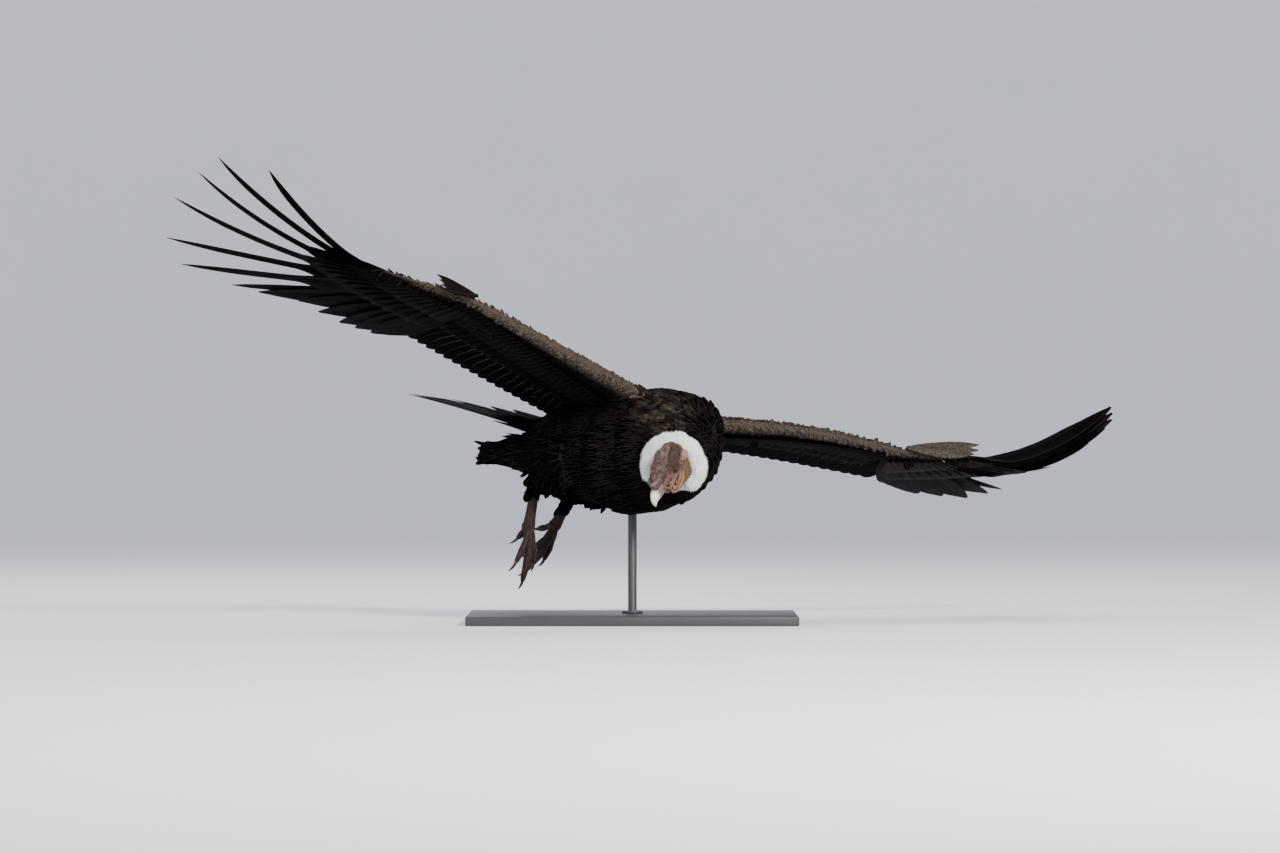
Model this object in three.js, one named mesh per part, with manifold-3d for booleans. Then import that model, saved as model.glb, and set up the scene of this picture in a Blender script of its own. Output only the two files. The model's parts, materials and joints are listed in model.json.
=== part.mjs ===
// An adult male Andean condor in a banked glide with its legs hanging, life size, on a display stand.
// Millimetres, +Z up. The origin is the middle of the underside of the stand's base.
// The bird is built in its own frame, +X to its right, +Y towards its chest and +Z to its back,
// and its group is then turned and lifted onto the stand.
import * as THREE from "three";
import { mergeVertices } from "three/addons/utils/BufferGeometryUtils.js";
import Module from "manifold-3d";

const wasm = await Module();
wasm.setup();
const { Manifold } = wasm;

// Attitude of the whole bird, in degrees: which way it heads, how far the nose is up, how far it leans left
const HEADING = 46;
const NOSE_UP = -1;
const BANK_LEFT = 19;
const BIRD_AT = [10, -4, 476];

// Clearance between two pieces that touch, and the size below which a cut's slivers are dropped
const GAP = 0.3;
const SLIVER = 0.02;

// Torso: place along the body, half width, top and bottom of each section
const TORSO = [
  [264, 34, 30, -78],
  [240, 86, 82, -138],
  [190, 127, 108, -178],
  [110, 148, 122, -208],
  [10, 153, 118, -225],
  [-80, 146, 106, -206],
  [-165, 126, 88, -168],
  [-235, 100, 68, -128],
  [-290, 72, 48, -92],
  [-330, 48, 30, -62],
];

// Wing bones and the flesh over them
const SHOULDER = [94, 118, 62];
const ARM_LENGTH = 585;
const HAND_LENGTH = 250;
const ARM_CHORD = 175;
const WRIST_CHORD = 74;
const HAND_TIP_CHORD = 24;
const ARM_THICK = 76;
const WRIST_THICK = 32;
const HAND_TIP_THICK = 10;

// How each wing is held, in degrees: forward sweep and rise of the arm, then the hand against the arm
const POSES = {
  right: {
    side: 1, sweep: -12.5, rise: 6, incidence: 4, arch: 0,
    handBack: 26, handRise: -4, handIncidence: 13, fanFrom: 64, fingerBend: 42,
    alulaRise: 0.26, alulaLength: 122,
  },
  left: {
    side: -1, sweep: 17, rise: 11.6, incidence: 2, arch: 18,
    handBack: 2, handRise: 2, handIncidence: 13, fanFrom: 54, fingerBend: 46,
    alulaRise: 0.1, alulaLength: 190,
  },
};

// Flight feathers, from the wrist out and from the shoulder out
const PRIMARY_LENGTHS = [405, 425, 455, 566, 668, 645, 590, 540, 476, 370];
const SECONDARIES = 13;
const SECONDARY_LENGTHS = [232, 306];

// Tail: twelve feathers in a fan, tipped up at the back and rolled against the bank
const TAIL_AT = [0, -322, 6];
const TAIL_RAISED = 13.5;
const TAIL_ROLLED = 8;
const TAIL_LENGTH = 350;
const TAIL_FAN = 33;

// Head, bowed until the bill points down and turned to the bird's right; its frame is +Y to the bill tip
const HEAD_AT = [120, 255, -118];
const HEAD_TURN = -172;
const HEAD_NOD = -80.6;
const HEAD_TILT = -97;
const EYE_RADIUS = 8.5;

// Legs
const LEGS = {
  right: { side: 1, hip: [72, -110, -110], ankle: [90, -216, -140], pad: [43, -247, -270], toesBack: 10, toesIn: 17 },
  left: { side: -1, hip: [-72, -130, -100], ankle: [-88, -246, -104], pad: [-92, -296, -226], toesBack: 33, toesIn: -1 },
};
const MIDDLE_TOE = 138;

// Stand
const BASE_SIZE = [820, 560, 24];
const ROD_RADIUS = 11;
const ROD_AT = [0, 0];
const ROD_TOP = 340;

const rad = THREE.MathUtils.degToRad;
const lerp = THREE.MathUtils.lerp;
const vec = (x, y, z) => new THREE.Vector3(x, y, z);

// Solids

// A closed solid from a list of points and a list of triangles, turned to face out.
function solidFrom(points, triangles) {
  const position = new Float32Array(points.flatMap((p) => [p.x, p.y, p.z]));
  const geometry = new THREE.BufferGeometry()
    .setAttribute("position", new THREE.BufferAttribute(position, 3))
    .setIndex(triangles.flat());
  return solidOf(geometry);
}

// A closed solid from a three.js geometry.
function solidOf(geometry) {
  const bare = geometry.clone();
  bare.deleteAttribute("normal");
  bare.deleteAttribute("uv");
  const merged = mergeVertices(bare, 1e-4);
  const build = (triVerts) =>
    new Manifold(
      new wasm.Mesh({ numProp: 3, vertProperties: merged.attributes.position.array, triVerts }),
    );
  const triVerts = new Uint32Array(merged.index.array);
  const made = build(triVerts);
  if (made.volume() > 0) return made;
  for (let i = 0; i < triVerts.length; i += 3) {
    [triVerts[i + 1], triVerts[i + 2]] = [triVerts[i + 2], triVerts[i + 1]];
  }
  return build(triVerts);
}

// A solid skinned over rings of points, one ring after the other, with both ends closed.
function skinned(rings) {
  const sides = rings[0].length;
  const points = rings.flat();
  const triangles = [];
  for (let k = 0; k + 1 < rings.length; k++) {
    for (let j = 0; j < sides; j++) {
      const a = k * sides + j;
      const b = k * sides + ((j + 1) % sides);
      triangles.push([a, b, b + sides], [a, b + sides, a + sides]);
    }
  }
  for (const [k, turned] of [[0, true], [rings.length - 1, false]]) {
    const middle = points.length;
    points.push(rings[k].reduce((sum, p) => sum.add(p), vec(0, 0, 0)).divideScalar(sides));
    for (let j = 0; j < sides; j++) {
      const a = k * sides + j;
      const b = k * sides + ((j + 1) % sides);
      triangles.push(turned ? [b, a, middle] : [a, b, middle]);
    }
  }
  return solidFrom(points, triangles);
}

// A body along Y through sections, each with its place, half width, top and bottom.
function body(sections, sides, grow = 0) {
  const last = sections.length - 1;
  const forwards = Math.sign(sections[0][0] - sections[last][0]);
  return skinned(
    sections.map(([y, half, top, bottom], k) =>
      Array.from({ length: sides }, (_, j) => {
        const a = (j / sides) * 2 * Math.PI;
        const high = (top - bottom) / 2 + grow;
        const end = k === 0 ? grow : k === last ? -grow : 0;
        return vec((half + grow) * Math.cos(a), y + forwards * end, (top + bottom) / 2 + high * Math.sin(a));
      }),
    ),
  );
}

// A round limb along a curve, with a radius at even steps of its length.
function limb(path, radii, sides, grow = 0, squash = 1) {
  const curve = new THREE.CatmullRomCurve3(path);
  const steps = radii.length - 1;
  const { normals, binormals } = curve.computeFrenetFrames(steps, false);
  return skinned(
    radii.map((radius, k) => {
      const at = curve.getPointAt(k / steps);
      return Array.from({ length: sides }, (_, j) => {
        const a = (j / sides) * 2 * Math.PI;
        return at
          .clone()
          .addScaledVector(normals[k], (radius + grow) * Math.cos(a))
          .addScaledVector(binormals[k], (radius * squash + grow) * Math.sin(a));
      });
    }),
  );
}

// A rounded lump with the given half sizes.
function lump(at, [rx, ry, rz], across = 8, down = 6) {
  const geometry = new THREE.SphereGeometry(1, across, down).scale(rx, ry, rz).translate(at.x, at.y, at.z);
  return solidOf(geometry);
}

const union = (solids) => Manifold.union(solids);
const placed = (solid, matrix) => solid.transform(matrix.elements);

// The largest closed body of a solid.
function largest(solid) {
  const bodies = solid.decompose();
  return bodies.reduce((best, one) => (one.volume() > best.volume() ? one : best));
}

// A named mesh from a solid, without the slivers that cuts leave.
function meshOf(name, solid, material) {
  const { numProp, vertProperties, triVerts } = largest(solid.simplify(SLIVER)).getMesh();
  const position = new Float32Array((vertProperties.length / numProp) * 3);
  for (let i = 0; i * numProp < vertProperties.length; i++) {
    position.set(vertProperties.subarray(i * numProp, i * numProp + 3), i * 3);
  }
  const geometry = new THREE.BufferGeometry()
    .setAttribute("position", new THREE.BufferAttribute(position, 3))
    .setIndex(new THREE.BufferAttribute(triVerts, 1));
  geometry.computeVertexNormals();
  const mesh = new THREE.Mesh(geometry, material);
  mesh.name = name;
  return mesh;
}

// Finishes
const finish = (color, roughness, metalness = 0) =>
  new THREE.MeshStandardMaterial({ color, roughness, metalness });
const FINISHES = {
  plumage: finish(0x17130f, 0.75),
  flight: finish(0x14110e, 0.6),
  down: finish(0xf2ece6, 0.9),
  face: finish(0x8a6a5f, 0.6),
  comb: finish(0x7a6a66, 0.65),
  horn: finish(0xe9e2d6, 0.35),
  eye: finish(0x4a2a18, 0.1),
  scutes: finish(0x5d554e, 0.6),
  claw: finish(0x1b1816, 0.4),
  stand: finish(0x2c2c2e, 0.5, 0.6),
};

// Feathers

// Outlines of a feather: place along it and share of its full width
const FINGER = [[0, 0.25], [0.12, 0.8], [0.4, 1], [0.56, 0.55], [0.78, 0.46], [0.92, 0.28], [1, 0.06]];
const BROAD = [[0, 0.35], [0.16, 1], [0.8, 0.92], [1, 0.16]];
const SHORT = [[0, 0.5], [0.72, 1], [1, 0.3]];

// A feather from its root: a thin plate that bends, leans and sweeps back along its length.
function vane({
  root, along, up, side, length, width, lead, stations, bend = 0, back = 0, tilt = 0, thick = [1.6, 1.2], power = 1.6,
}) {
  const t = along.clone().normalize();
  const n = up.clone().addScaledVector(t, -up.dot(t)).normalize();
  const front = vec(0, 0, 0).crossVectors(n, t).multiplyScalar(side);
  const roll = (axis, angle) => {
    n.applyAxisAngle(axis, angle);
    front.applyAxisAngle(axis, angle);
    t.applyAxisAngle(axis, angle);
  };
  roll(t.clone(), -side * rad(tilt));
  const at = root.clone();
  const rings = [];
  const steps = 3;
  let done = 0;
  let bent = 0;
  let swept = 0;
  for (const [u, share] of stations) {
    for (let s = 0; s < steps; s++) {
      const v = done + ((u - done) * (s + 0.5)) / steps;
      const wantBent = rad(bend) * Math.pow(v, power);
      const wantSwept = rad(back) * v;
      roll(front.clone(), side * (bent - wantBent));
      roll(n.clone(), side * (swept - wantSwept));
      bent = wantBent;
      swept = wantSwept;
      at.addScaledVector(t, (length * (u - done)) / steps);
    }
    done = u;
    const w = width * share;
    const place = (across, high) => at.clone().addScaledVector(front, across).addScaledVector(n, high);
    const ahead = w * lead;
    const behind = -w * (1 - lead);
    const high = lerp(...thick, u) / 2;
    rings.push([place(ahead, high), place(behind, high), place(behind, -high), place(ahead, -high)]);
  }
  return bladed(rings);
}

// A blade over rings that run along its top and back along its underside, split alike on both faces.
function bladed(rings) {
  const count = rings[0].length;
  const half = count / 2;
  const mirrored = (j) => count - 1 - j;
  const triangles = [];
  for (let k = 0; k + 1 < rings.length; k++) {
    const a = k * count;
    const b = a + count;
    for (let j = 0; j + 1 < half; j++) {
      const [p, q] = [mirrored(j), mirrored(j + 1)];
      triangles.push([a + j, b + j, b + j + 1], [a + j, b + j + 1, a + j + 1]);
      triangles.push([a + p, b + q, b + p], [a + p, a + q, b + q]);
    }
    triangles.push([a + half - 1, b + half - 1, b + half], [a + half - 1, b + half, a + half]);
    triangles.push([a + count - 1, b + count - 1, b], [a + count - 1, b, a]);
  }
  for (const [k, turned] of [[0, false], [rings.length - 1, true]]) {
    const a = k * count;
    for (let j = 0; j + 1 < half; j++) {
      const corners = [
        [a + j, a + j + 1, a + mirrored(j)],
        [a + j + 1, a + mirrored(j + 1), a + mirrored(j)],
      ];
      triangles.push(...corners.map(([x, y, z]) => (turned ? [x, z, y] : [x, y, z])));
    }
  }
  return solidFrom(rings.flat(), triangles);
}

// Wings

// The frame of a stretch of wing: outward along it, rearward across it, and up out of it.
function stretch(side, sweep, rise, incidence) {
  const out = vec(
    side * Math.cos(rad(rise)) * Math.cos(rad(sweep)),
    Math.cos(rad(rise)) * Math.sin(rad(sweep)),
    Math.sin(rad(rise)),
  );
  const level = vec(0, 0, 1).addScaledVector(out, -out.z).normalize();
  const up = level.applyAxisAngle(out, side * rad(incidence));
  const rear = vec(0, 0, 0).crossVectors(out, up).multiplyScalar(side);
  return { out, up, rear };
}

function wingFrames(pose) {
  const arm = stretch(pose.side, pose.sweep, pose.rise, pose.incidence);
  const hand = stretch(pose.side, pose.sweep - pose.handBack, pose.rise + pose.handRise, pose.handIncidence);
  const shoulder = vec(pose.side * SHOULDER[0], SHOULDER[1], SHOULDER[2]);
  const wrist = shoulder.clone().addScaledVector(arm.out, ARM_LENGTH);
  return { ...pose, arm, hand, shoulder, wrist };
}

// Points along the leading edges, and the chords and thicknesses there
const armEdge = (wing, t) =>
  wing.shoulder
    .clone()
    .addScaledVector(wing.arm.out, ARM_LENGTH * t)
    .addScaledVector(wing.arm.up, wing.arch * Math.sin(Math.PI * t));
const handEdge = (wing, t) => wing.wrist.clone().addScaledVector(wing.hand.out, HAND_LENGTH * t);
const armChord = (t) => lerp(ARM_CHORD, WRIST_CHORD, t);
const handChord = (t) => lerp(WRIST_CHORD, HAND_TIP_CHORD, t);

// A section of an arm or hand, whose leading edge is at a point.
function wingRing(edge, frame, chord, thick, sides, grow) {
  const middle = edge.clone().addScaledVector(frame.rear, chord / 2);
  return Array.from({ length: sides }, (_, j) => {
    const a = (j / sides) * 2 * Math.PI;
    const taper = 0.66 + 0.34 * Math.cos(a);
    return middle
      .clone()
      .addScaledVector(frame.rear, -(chord / 2 + grow) * Math.cos(a))
      .addScaledVector(frame.up, ((thick / 2) * taper + grow) * Math.sin(a));
  });
}

function armSolid(wing, grow = 0) {
  return skinned(
    [0, 0.2, 0.45, 0.7, 0.9, 1 + grow / ARM_LENGTH].map((t) =>
      wingRing(armEdge(wing, t), wing.arm, armChord(t), lerp(ARM_THICK, WRIST_THICK, t), 12, grow),
    ),
  );
}

function handSolid(wing, grow = 0) {
  return skinned(
    [-0.06 - grow / HAND_LENGTH, 0.3, 0.7, 0.92 + grow / HAND_LENGTH].map((t) =>
      wingRing(handEdge(wing, t), wing.hand, handChord(t), lerp(WRIST_THICK, HAND_TIP_THICK, t), 10, grow),
    ),
  );
}

// A strip of skin along the rear of the arm or hand, in which the feathers root.
function rootStrip(edgeAt, frame, chordAt, from, to, halves) {
  const rings = [];
  for (let k = 0; k <= 4; k++) {
    const t = lerp(from, to, k / 4);
    const middle = edgeAt(t).addScaledVector(frame.rear, chordAt(t) + 14);
    rings.push(
      [[-1, 0], [-0.5, 1], [0.5, 1], [1, 0], [0.5, -1], [-0.5, -1]].map(([rear, high]) =>
        middle.clone().addScaledVector(frame.rear, rear * 16).addScaledVector(frame.up, high * lerp(...halves, k / 4)),
      ),
    );
  }
  return skinned(rings);
}

// One row of feathers along an arm or hand. Each entry of the row gives a feather's own sizes by its
// share s of the row, from the body side outwards.
function featherRow(count, edgeAt, frame, chordAt, row) {
  return Array.from({ length: count }, (_, i) => {
    const s = count > 1 ? i / (count - 1) : 0;
    const { along, set, raised = 0, fan, pitch = 0, ...shape } = row(s, i);
    const root = edgeAt(along)
      .addScaledVector(frame.rear, chordAt(along) + set)
      .addScaledVector(frame.up, raised);
    const level = frame.out
      .clone()
      .multiplyScalar(Math.cos(rad(fan)))
      .addScaledVector(frame.rear, Math.sin(rad(fan)));
    const direction = level.multiplyScalar(Math.cos(rad(pitch))).addScaledVector(frame.up, Math.sin(rad(pitch)));
    return vane({ root, along: direction, up: frame.up, ...shape });
  });
}

// A half space on the body side of a plane, or beyond it, as a large box.
function halfSpace(origin, normal, rear) {
  const across = vec(0, 0, 0).crossVectors(normal, rear);
  const size = 2400;
  const at = origin.clone().addScaledVector(normal, size / 2);
  const matrix = new THREE.Matrix4().makeBasis(normal, rear, across).setPosition(at);
  return solidOf(new THREE.BoxGeometry(size, size, size).applyMatrix4(matrix));
}

function primaries(wing) {
  const { side, hand } = wing;
  const edgeAt = (t) => handEdge(wing, t);
  const flight = featherRow(PRIMARY_LENGTHS.length, edgeAt, hand, handChord, (s, i) => ({
    along: lerp(0.06, 0.96, s), set: 2, fan: lerp(wing.fanFrom, -14, s), side, length: PRIMARY_LENGTHS[i],
    width: lerp(80, 66, s), lead: lerp(0.4, 0.28, s), stations: i < 3 ? BROAD : FINGER,
    bend: lerp(2, wing.fingerBend, Math.pow(s, 2.2)), power: 0.8, back: lerp(4, 6, s), tilt: 6, thick: [2, 1.2],
  }));
  const coverts = [1, -1].flatMap((face) =>
    featherRow(4, edgeAt, hand, handChord, (s) => ({
      along: lerp(0.1, 0.9, s), set: 6, raised: face * lerp(8, 5, s), fan: lerp(wing.fanFrom - 4, -6, s), pitch: face * 5, side,
      length: lerp(170, 190, s), width: 78, lead: 0.4, stations: SHORT, bend: -face * 5, tilt: 4,
    })),
  );
  return union([rootStrip(edgeAt, hand, handChord, 0, 1, [11, 7]), ...flight, ...coverts]);
}

function secondaries(wing) {
  const { side, arm } = wing;
  const edgeAt = (t) => armEdge(wing, t);
  const flight = featherRow(SECONDARIES, edgeAt, arm, armChord, (s) => ({
    along: lerp(0.1, 0.97, s), set: 2, fan: lerp(104, 76, s), side, length: lerp(...SECONDARY_LENGTHS, s),
    width: 66, lead: 0.42, stations: BROAD, bend: -10, back: 5, tilt: 3.5,
  }));
  const tertials = featherRow(3, edgeAt, arm, armChord, (s) => ({
    along: lerp(-0.08, 0.05, s), set: 2, fan: lerp(112, 106, s), side, length: lerp(218, 236, s),
    width: 66, lead: 0.42, stations: BROAD, bend: -10, back: 5, tilt: 3.5,
  }));
  const coverts = [1, -1].flatMap((face) =>
    featherRow(6, edgeAt, arm, armChord, (s) => ({
      along: lerp(0.12, 0.94, s), set: 6, raised: face * 10, fan: lerp(102, 78, s), pitch: face * 4, side,
      length: lerp(120, 140, s), width: 100, lead: 0.42, stations: SHORT, bend: -face * 4, tilt: 2.5,
    })),
  );
  return union([rootStrip(edgeAt, arm, armChord, -0.08, 1, [13, 13]), ...flight, ...tertials, ...coverts]);
}

// The thumb's feathers, spread up off the leading edge of the hand.
function alula(wing) {
  const { side, hand } = wing;
  const root = handEdge(wing, 0.02).addScaledVector(hand.rear, 12).addScaledVector(hand.up, 6);
  const vanes = [0, 1, 2].map((i) => {
    const direction = hand.out
      .clone()
      .addScaledVector(hand.up, wing.alulaRise + 0.09 * i)
      .addScaledVector(hand.rear, 0.2 - 0.06 * i);
    return vane({
      root: root.clone().addScaledVector(hand.up, 3 * i), along: direction, up: hand.up, side,
      length: wing.alulaLength - 14 * i, width: 34, lead: 0.35, stations: SHORT, bend: 10, tilt: 8,
    });
  });
  return union([lump(root, [18, 16, 11], 8, 5), ...vanes]);
}

function wingParts(name, pose, torso) {
  const wing = wingFrames(pose);
  const { arm, hand, wrist } = wing;
  const between = arm.rear.clone().add(hand.rear).normalize();
  const normal = arm.out.clone().addScaledVector(between, -arm.out.dot(between)).normalize();
  const turned = between.clone().multiplyScalar(0.97).addScaledVector(normal, 0.24).normalize();
  const beyond = vec(0, 0, 0).copy(normal).addScaledVector(turned, -normal.dot(turned)).normalize();
  const outer = halfSpace(wrist.clone().addScaledVector(beyond, -GAP), beyond, turned);
  const inner = halfSpace(wrist.clone().addScaledVector(beyond, GAP), beyond.clone().negate(), turned);
  const bones = armSolid(wing).subtract(torso).subtract(handSolid(wing, GAP));
  const flesh = union([armSolid(wing, GAP), handSolid(wing, GAP), torso]);
  const parts = {
    arm: [bones, FINISHES.plumage],
    hand: [handSolid(wing), FINISHES.plumage],
    primaries: [primaries(wing).subtract(flesh).subtract(inner), FINISHES.flight],
    secondaries: [secondaries(wing).subtract(flesh).subtract(outer), FINISHES.flight],
    alula: [alula(wing).subtract(flesh), FINISHES.flight],
  };
  return Object.entries(parts).map(([part, [solid, material]]) => meshOf(`wing_${name}_${part}`, solid, material));
}

// Tail
function tailParts(torso) {
  const rotation = new THREE.Euler(rad(-TAIL_RAISED), rad(TAIL_ROLLED), 0, "ZXY");
  const matrix = new THREE.Matrix4().makeRotationFromEuler(rotation).setPosition(...TAIL_AT);
  const pairs = 6;
  const level = 2.3;
  const up = vec(0, 0, 1);
  const feathers = [];
  for (const side of [1, -1]) {
    for (let k = 0; k < pairs; k++) {
      const s = (k + 0.5) / pairs;
      const deep = k === 0 ? (side > 0 ? 0 : 1) : k + 1;
      const fan = rad(TAIL_FAN) * s;
      feathers.push(vane({
        root: vec(side * 42 * s, 26, -level * deep), along: vec(side * Math.sin(fan), -Math.cos(fan), 0), up, side,
        length: TAIL_LENGTH + 26 - 14 * s, width: 64, lead: 0.42, stations: BROAD, bend: -6,
      }));
    }
  }
  for (let i = 0; i < 5; i++) {
    const s = i / 4 - 0.5;
    const fan = rad(TAIL_FAN * 1.3) * s;
    feathers.push(vane({
      root: vec(60 * s, 20, 5 + 2 * Math.abs(i - 2) + 0.4 * i), along: vec(Math.sin(fan), -Math.cos(fan), 0.02), up,
      side: 1, length: 165, width: 66, lead: 0.5, stations: SHORT,
    }));
  }
  const rump = body([[34, 50, 16, -24], [4, 56, 18, -26], [-16, 50, 11, -19], [-30, 40, 5, -14]], 12);
  const tail = placed(union([rump, ...feathers]), matrix).subtract(torso);

  // The vent's feathers below it: a tapered mass with its own pointed plates, cut off level under the tail
  const path = [vec(0, -250, -48), vec(12, -366, -66), vec(28, -456, -62)];
  const plates = Array.from({ length: 6 }, (_, i) => {
    const a = rad(-185 + 38 * i);
    const outward = vec(Math.cos(a), 0, Math.sin(a));
    const root = path[1].clone().addScaledVector(outward, 40);
    return vane({
      root, along: vec(0.16 - 0.2 * outward.x, -1, -0.08 * outward.z), up: outward, side: 1,
      length: 112 + 16 * (i % 3), width: 60, lead: 0.5, stations: SHORT, thick: [5, 1.2],
    });
  });
  const above = placed(halfSpace(vec(0, 0, -30), vec(0, 0, 1), vec(0, 1, 0)), matrix);
  const mass = limb(path, [78, 72, 60, 44, 20], 12, 0, 0.9);
  const vent = union([mass, ...plates]).subtract(torso).subtract(above);
  return { tail, vent };
}

// Head

// Sections of the skull, of the two halves of the bill and of the comb, in the head's own frame
const SKULL = [
  [-54, 13, 10, -14],
  [-44, 27, 24, -28],
  [-22, 34, 32, -36],
  [2, 33, 33, -39],
  [24, 28, 28, -36],
  [44, 21, 21, -29],
  [60, 16, 15, -22],
];
const UPPER_BILL = [
  [54, 15.5, 15, -11],
  [66, 14, 15, -11],
  [80, 12.5, 14.5, -11],
  [92, 10, 11, -13],
  [101, 6.5, 4, -18],
  [106, 3, -6, -23],
  [108, 1, -15, -26],
];
const LOWER_BILL = [
  [48, 13.5, -12, -23],
  [64, 12, -12, -21.5],
  [80, 9.5, -12, -20],
  [91, 5, -14, -18],
];
const COMB = [
  [75, 5, 22, 8],
  [69, 12, 36, 2],
  [48, 17, 48, -5],
  [20, 18, 56, -3],
  [-10, 15, 55, 5],
  [-30, 10, 46, 8],
  [-41, 5, 34, 10],
];

// Folds of skin on each side of the head: over the ear, on the jaw and under the eye
const LOBES = [
  { at: [28, -34, -8], half: [9, 13, 14] },
  { at: [25, 29, -32], half: [13, 33, 16] },
  { at: [21, 33, -12], half: [8, 25, 9] },
];

const headMatrix = new THREE.Matrix4()
  .makeRotationFromEuler(new THREE.Euler(rad(HEAD_NOD), rad(HEAD_TILT), rad(HEAD_TURN), "ZXY"))
  .setPosition(...HEAD_AT);
const headPoint = (x, y, z) => vec(x, y, z).applyMatrix4(headMatrix);
const EYE = [25, 4, 1];
const LID = 2.6;

// The path of the neck, from inside the chest to inside the skull
const NECK_PATH = [vec(22, 168, -60), vec(62, 228, -108), headPoint(0, -10, -18)];
const NECK_RADII = [62, 58, 53, 49, 46, 50, 44, 47, 38, 33];

// The ring of down, round the neck where it leaves the chest
const RUFF_AT = vec(77, 235, -111);
const RUFF_AXIS = vec(0.65, 0.55, -0.52).normalize();
const RUFF_RADIUS = 60;
const RUFF_THICK = 23;
const RUFF_LOCKS = 13;
// The open part at the throat, in degrees to each side of it
const RUFF_OPEN = [38, 322];

function headParts(torso) {
  const skull = (grow) => body(SKULL, 14, grow);
  const sides = [["right", 1], ["left", -1]];
  const eyeAt = (side) => vec(side * EYE[0], EYE[1], EYE[2]);
  const lids = (grow) =>
    sides.map(([, side]) => {
      const at = vec(side * (EYE[0] + 5), EYE[1], EYE[2]);
      const turn = new THREE.Matrix4().makeRotationY((side * Math.PI) / 2).setPosition(at);
      return solidOf(new THREE.TorusGeometry(EYE_RADIUS, LID + grow, 5, 12).applyMatrix4(turn));
    });
  const hollows = sides.map(([, side]) => lump(vec(side * 36, -16, -2), [6, 5, 6], 6, 4));
  const lobes = (grow) =>
    sides.flatMap(([, side]) =>
      LOBES.map(({ at: [x, y, z], half }) => lump(vec(side * x, y, z), half.map((size) => size + grow), 7, 5)),
    );
  const upper = (grow) => body(UPPER_BILL, 12, grow);
  const lower = (grow) => body(LOWER_BILL, 10, grow);
  const eyes = (grow) => union(sides.map(([, side]) => lump(eyeAt(side), Array(3).fill(EYE_RADIUS + grow), 10, 6)));
  const nostrils = sides.map(([, side]) => lump(vec(side * 15, 66, 5), [4, 5, 2.4], 8, 4));
  const head = union([skull(0), ...lids(0), ...lobes(0)])
    .subtract(union([eyes(GAP), upper(GAP), lower(GAP), ...hollows]));
  const bulbs = [[56, 34], [26, 47], [-6, 50]].map(([y, z]) => lump(vec(0, y, z), [16, 17, 9], 6, 4));
  const comb = union([body(COMB, 10), ...bulbs]).subtract(union([skull(GAP), upper(GAP), ...lids(GAP), ...lobes(GAP)]));
  const group = new THREE.Group();
  group.position.set(...HEAD_AT);
  group.rotation.set(rad(HEAD_NOD), rad(HEAD_TILT), rad(HEAD_TURN), "ZXY");
  group.add(
    meshOf("head", head, FINISHES.face),
    meshOf("comb", comb, FINISHES.comb),
    meshOf("bill_upper", upper(0).subtract(union(nostrils)), FINISHES.horn),
    meshOf("bill_lower", lower(0).subtract(upper(GAP)), FINISHES.horn),
  );
  for (const [name, side] of sides) {
    group.add(meshOf(`eye_${name}`, lump(eyeAt(side), Array(3).fill(EYE_RADIUS), 10, 6), FINISHES.eye));
  }

  const headGrown = placed(union([skull(GAP), ...lids(GAP), ...lobes(GAP), eyes(GAP)]), headMatrix);
  const neckSolid = (grow) => limb(NECK_PATH, NECK_RADII, 14, grow);
  const wattle = union([
    lump(vec(0, 36, -40), [15, 30, 15], 8, 5), lump(vec(0, 6, -48), [18, 26, 17], 8, 5),
  ]);
  const neck = neckSolid(0).subtract(torso).subtract(headGrown);
  const wattlePlaced = placed(wattle, headMatrix)
    .subtract(headGrown)
    .subtract(neckSolid(GAP))
    .subtract(placed(lower(GAP), headMatrix));

  const throat = vec(0, 0, -1).addScaledVector(RUFF_AXIS, RUFF_AXIS.z).normalize();
  const beside = vec(0, 0, 0).crossVectors(RUFF_AXIS, throat);
  const round = (angle, radius, high) =>
    RUFF_AT.clone()
      .addScaledVector(throat, Math.cos(angle) * radius)
      .addScaledVector(beside, Math.sin(angle) * radius)
      .addScaledVector(RUFF_AXIS, high);
  const openFrom = rad(RUFF_OPEN[0]);
  const openTo = rad(RUFF_OPEN[1]);
  const locks = Array.from({ length: RUFF_LOCKS }, (_, i) => {
    const a = lerp(openFrom, openTo, (i + 0.5) / RUFF_LOCKS);
    const path = [round(a, RUFF_RADIUS - 12, 10), round(a, RUFF_RADIUS + 8, 8), round(a, RUFF_RADIUS + 22, -10)];
    return limb(path, [12, 18, 9], 5);
  });
  const arc = Array.from({ length: 13 }, (_, i) => round(lerp(openFrom, openTo, i / 12), RUFF_RADIUS, 0));
  const swell = Array.from({ length: 17 }, (_, i) => RUFF_THICK * Math.min(1, 0.35 + 0.2 * Math.min(i, 16 - i)));
  const ruff = union([limb(arc, swell, 8), ...locks]).subtract(union([torso, neckSolid(GAP), headGrown]));
  return [
    group,
    meshOf("neck", neck, FINISHES.face),
    meshOf("wattle", wattlePlaced, FINISHES.face),
    meshOf("ruff", ruff, FINISHES.down),
  ];
}

// Legs

// Toes: spread from the middle one, share of its length, thickness and how far up the foot they root
const TOES = [
  { name: "middle", spread: 0, share: 1, radius: 9, front: 1 },
  { name: "inner", spread: -17, share: 0.7, radius: 8, front: 1 },
  { name: "outer", spread: 19, share: 0.72, radius: 7.5, front: 1 },
  { name: "hind", spread: -8, share: 0.36, radius: 7, front: -1 },
];

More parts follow.
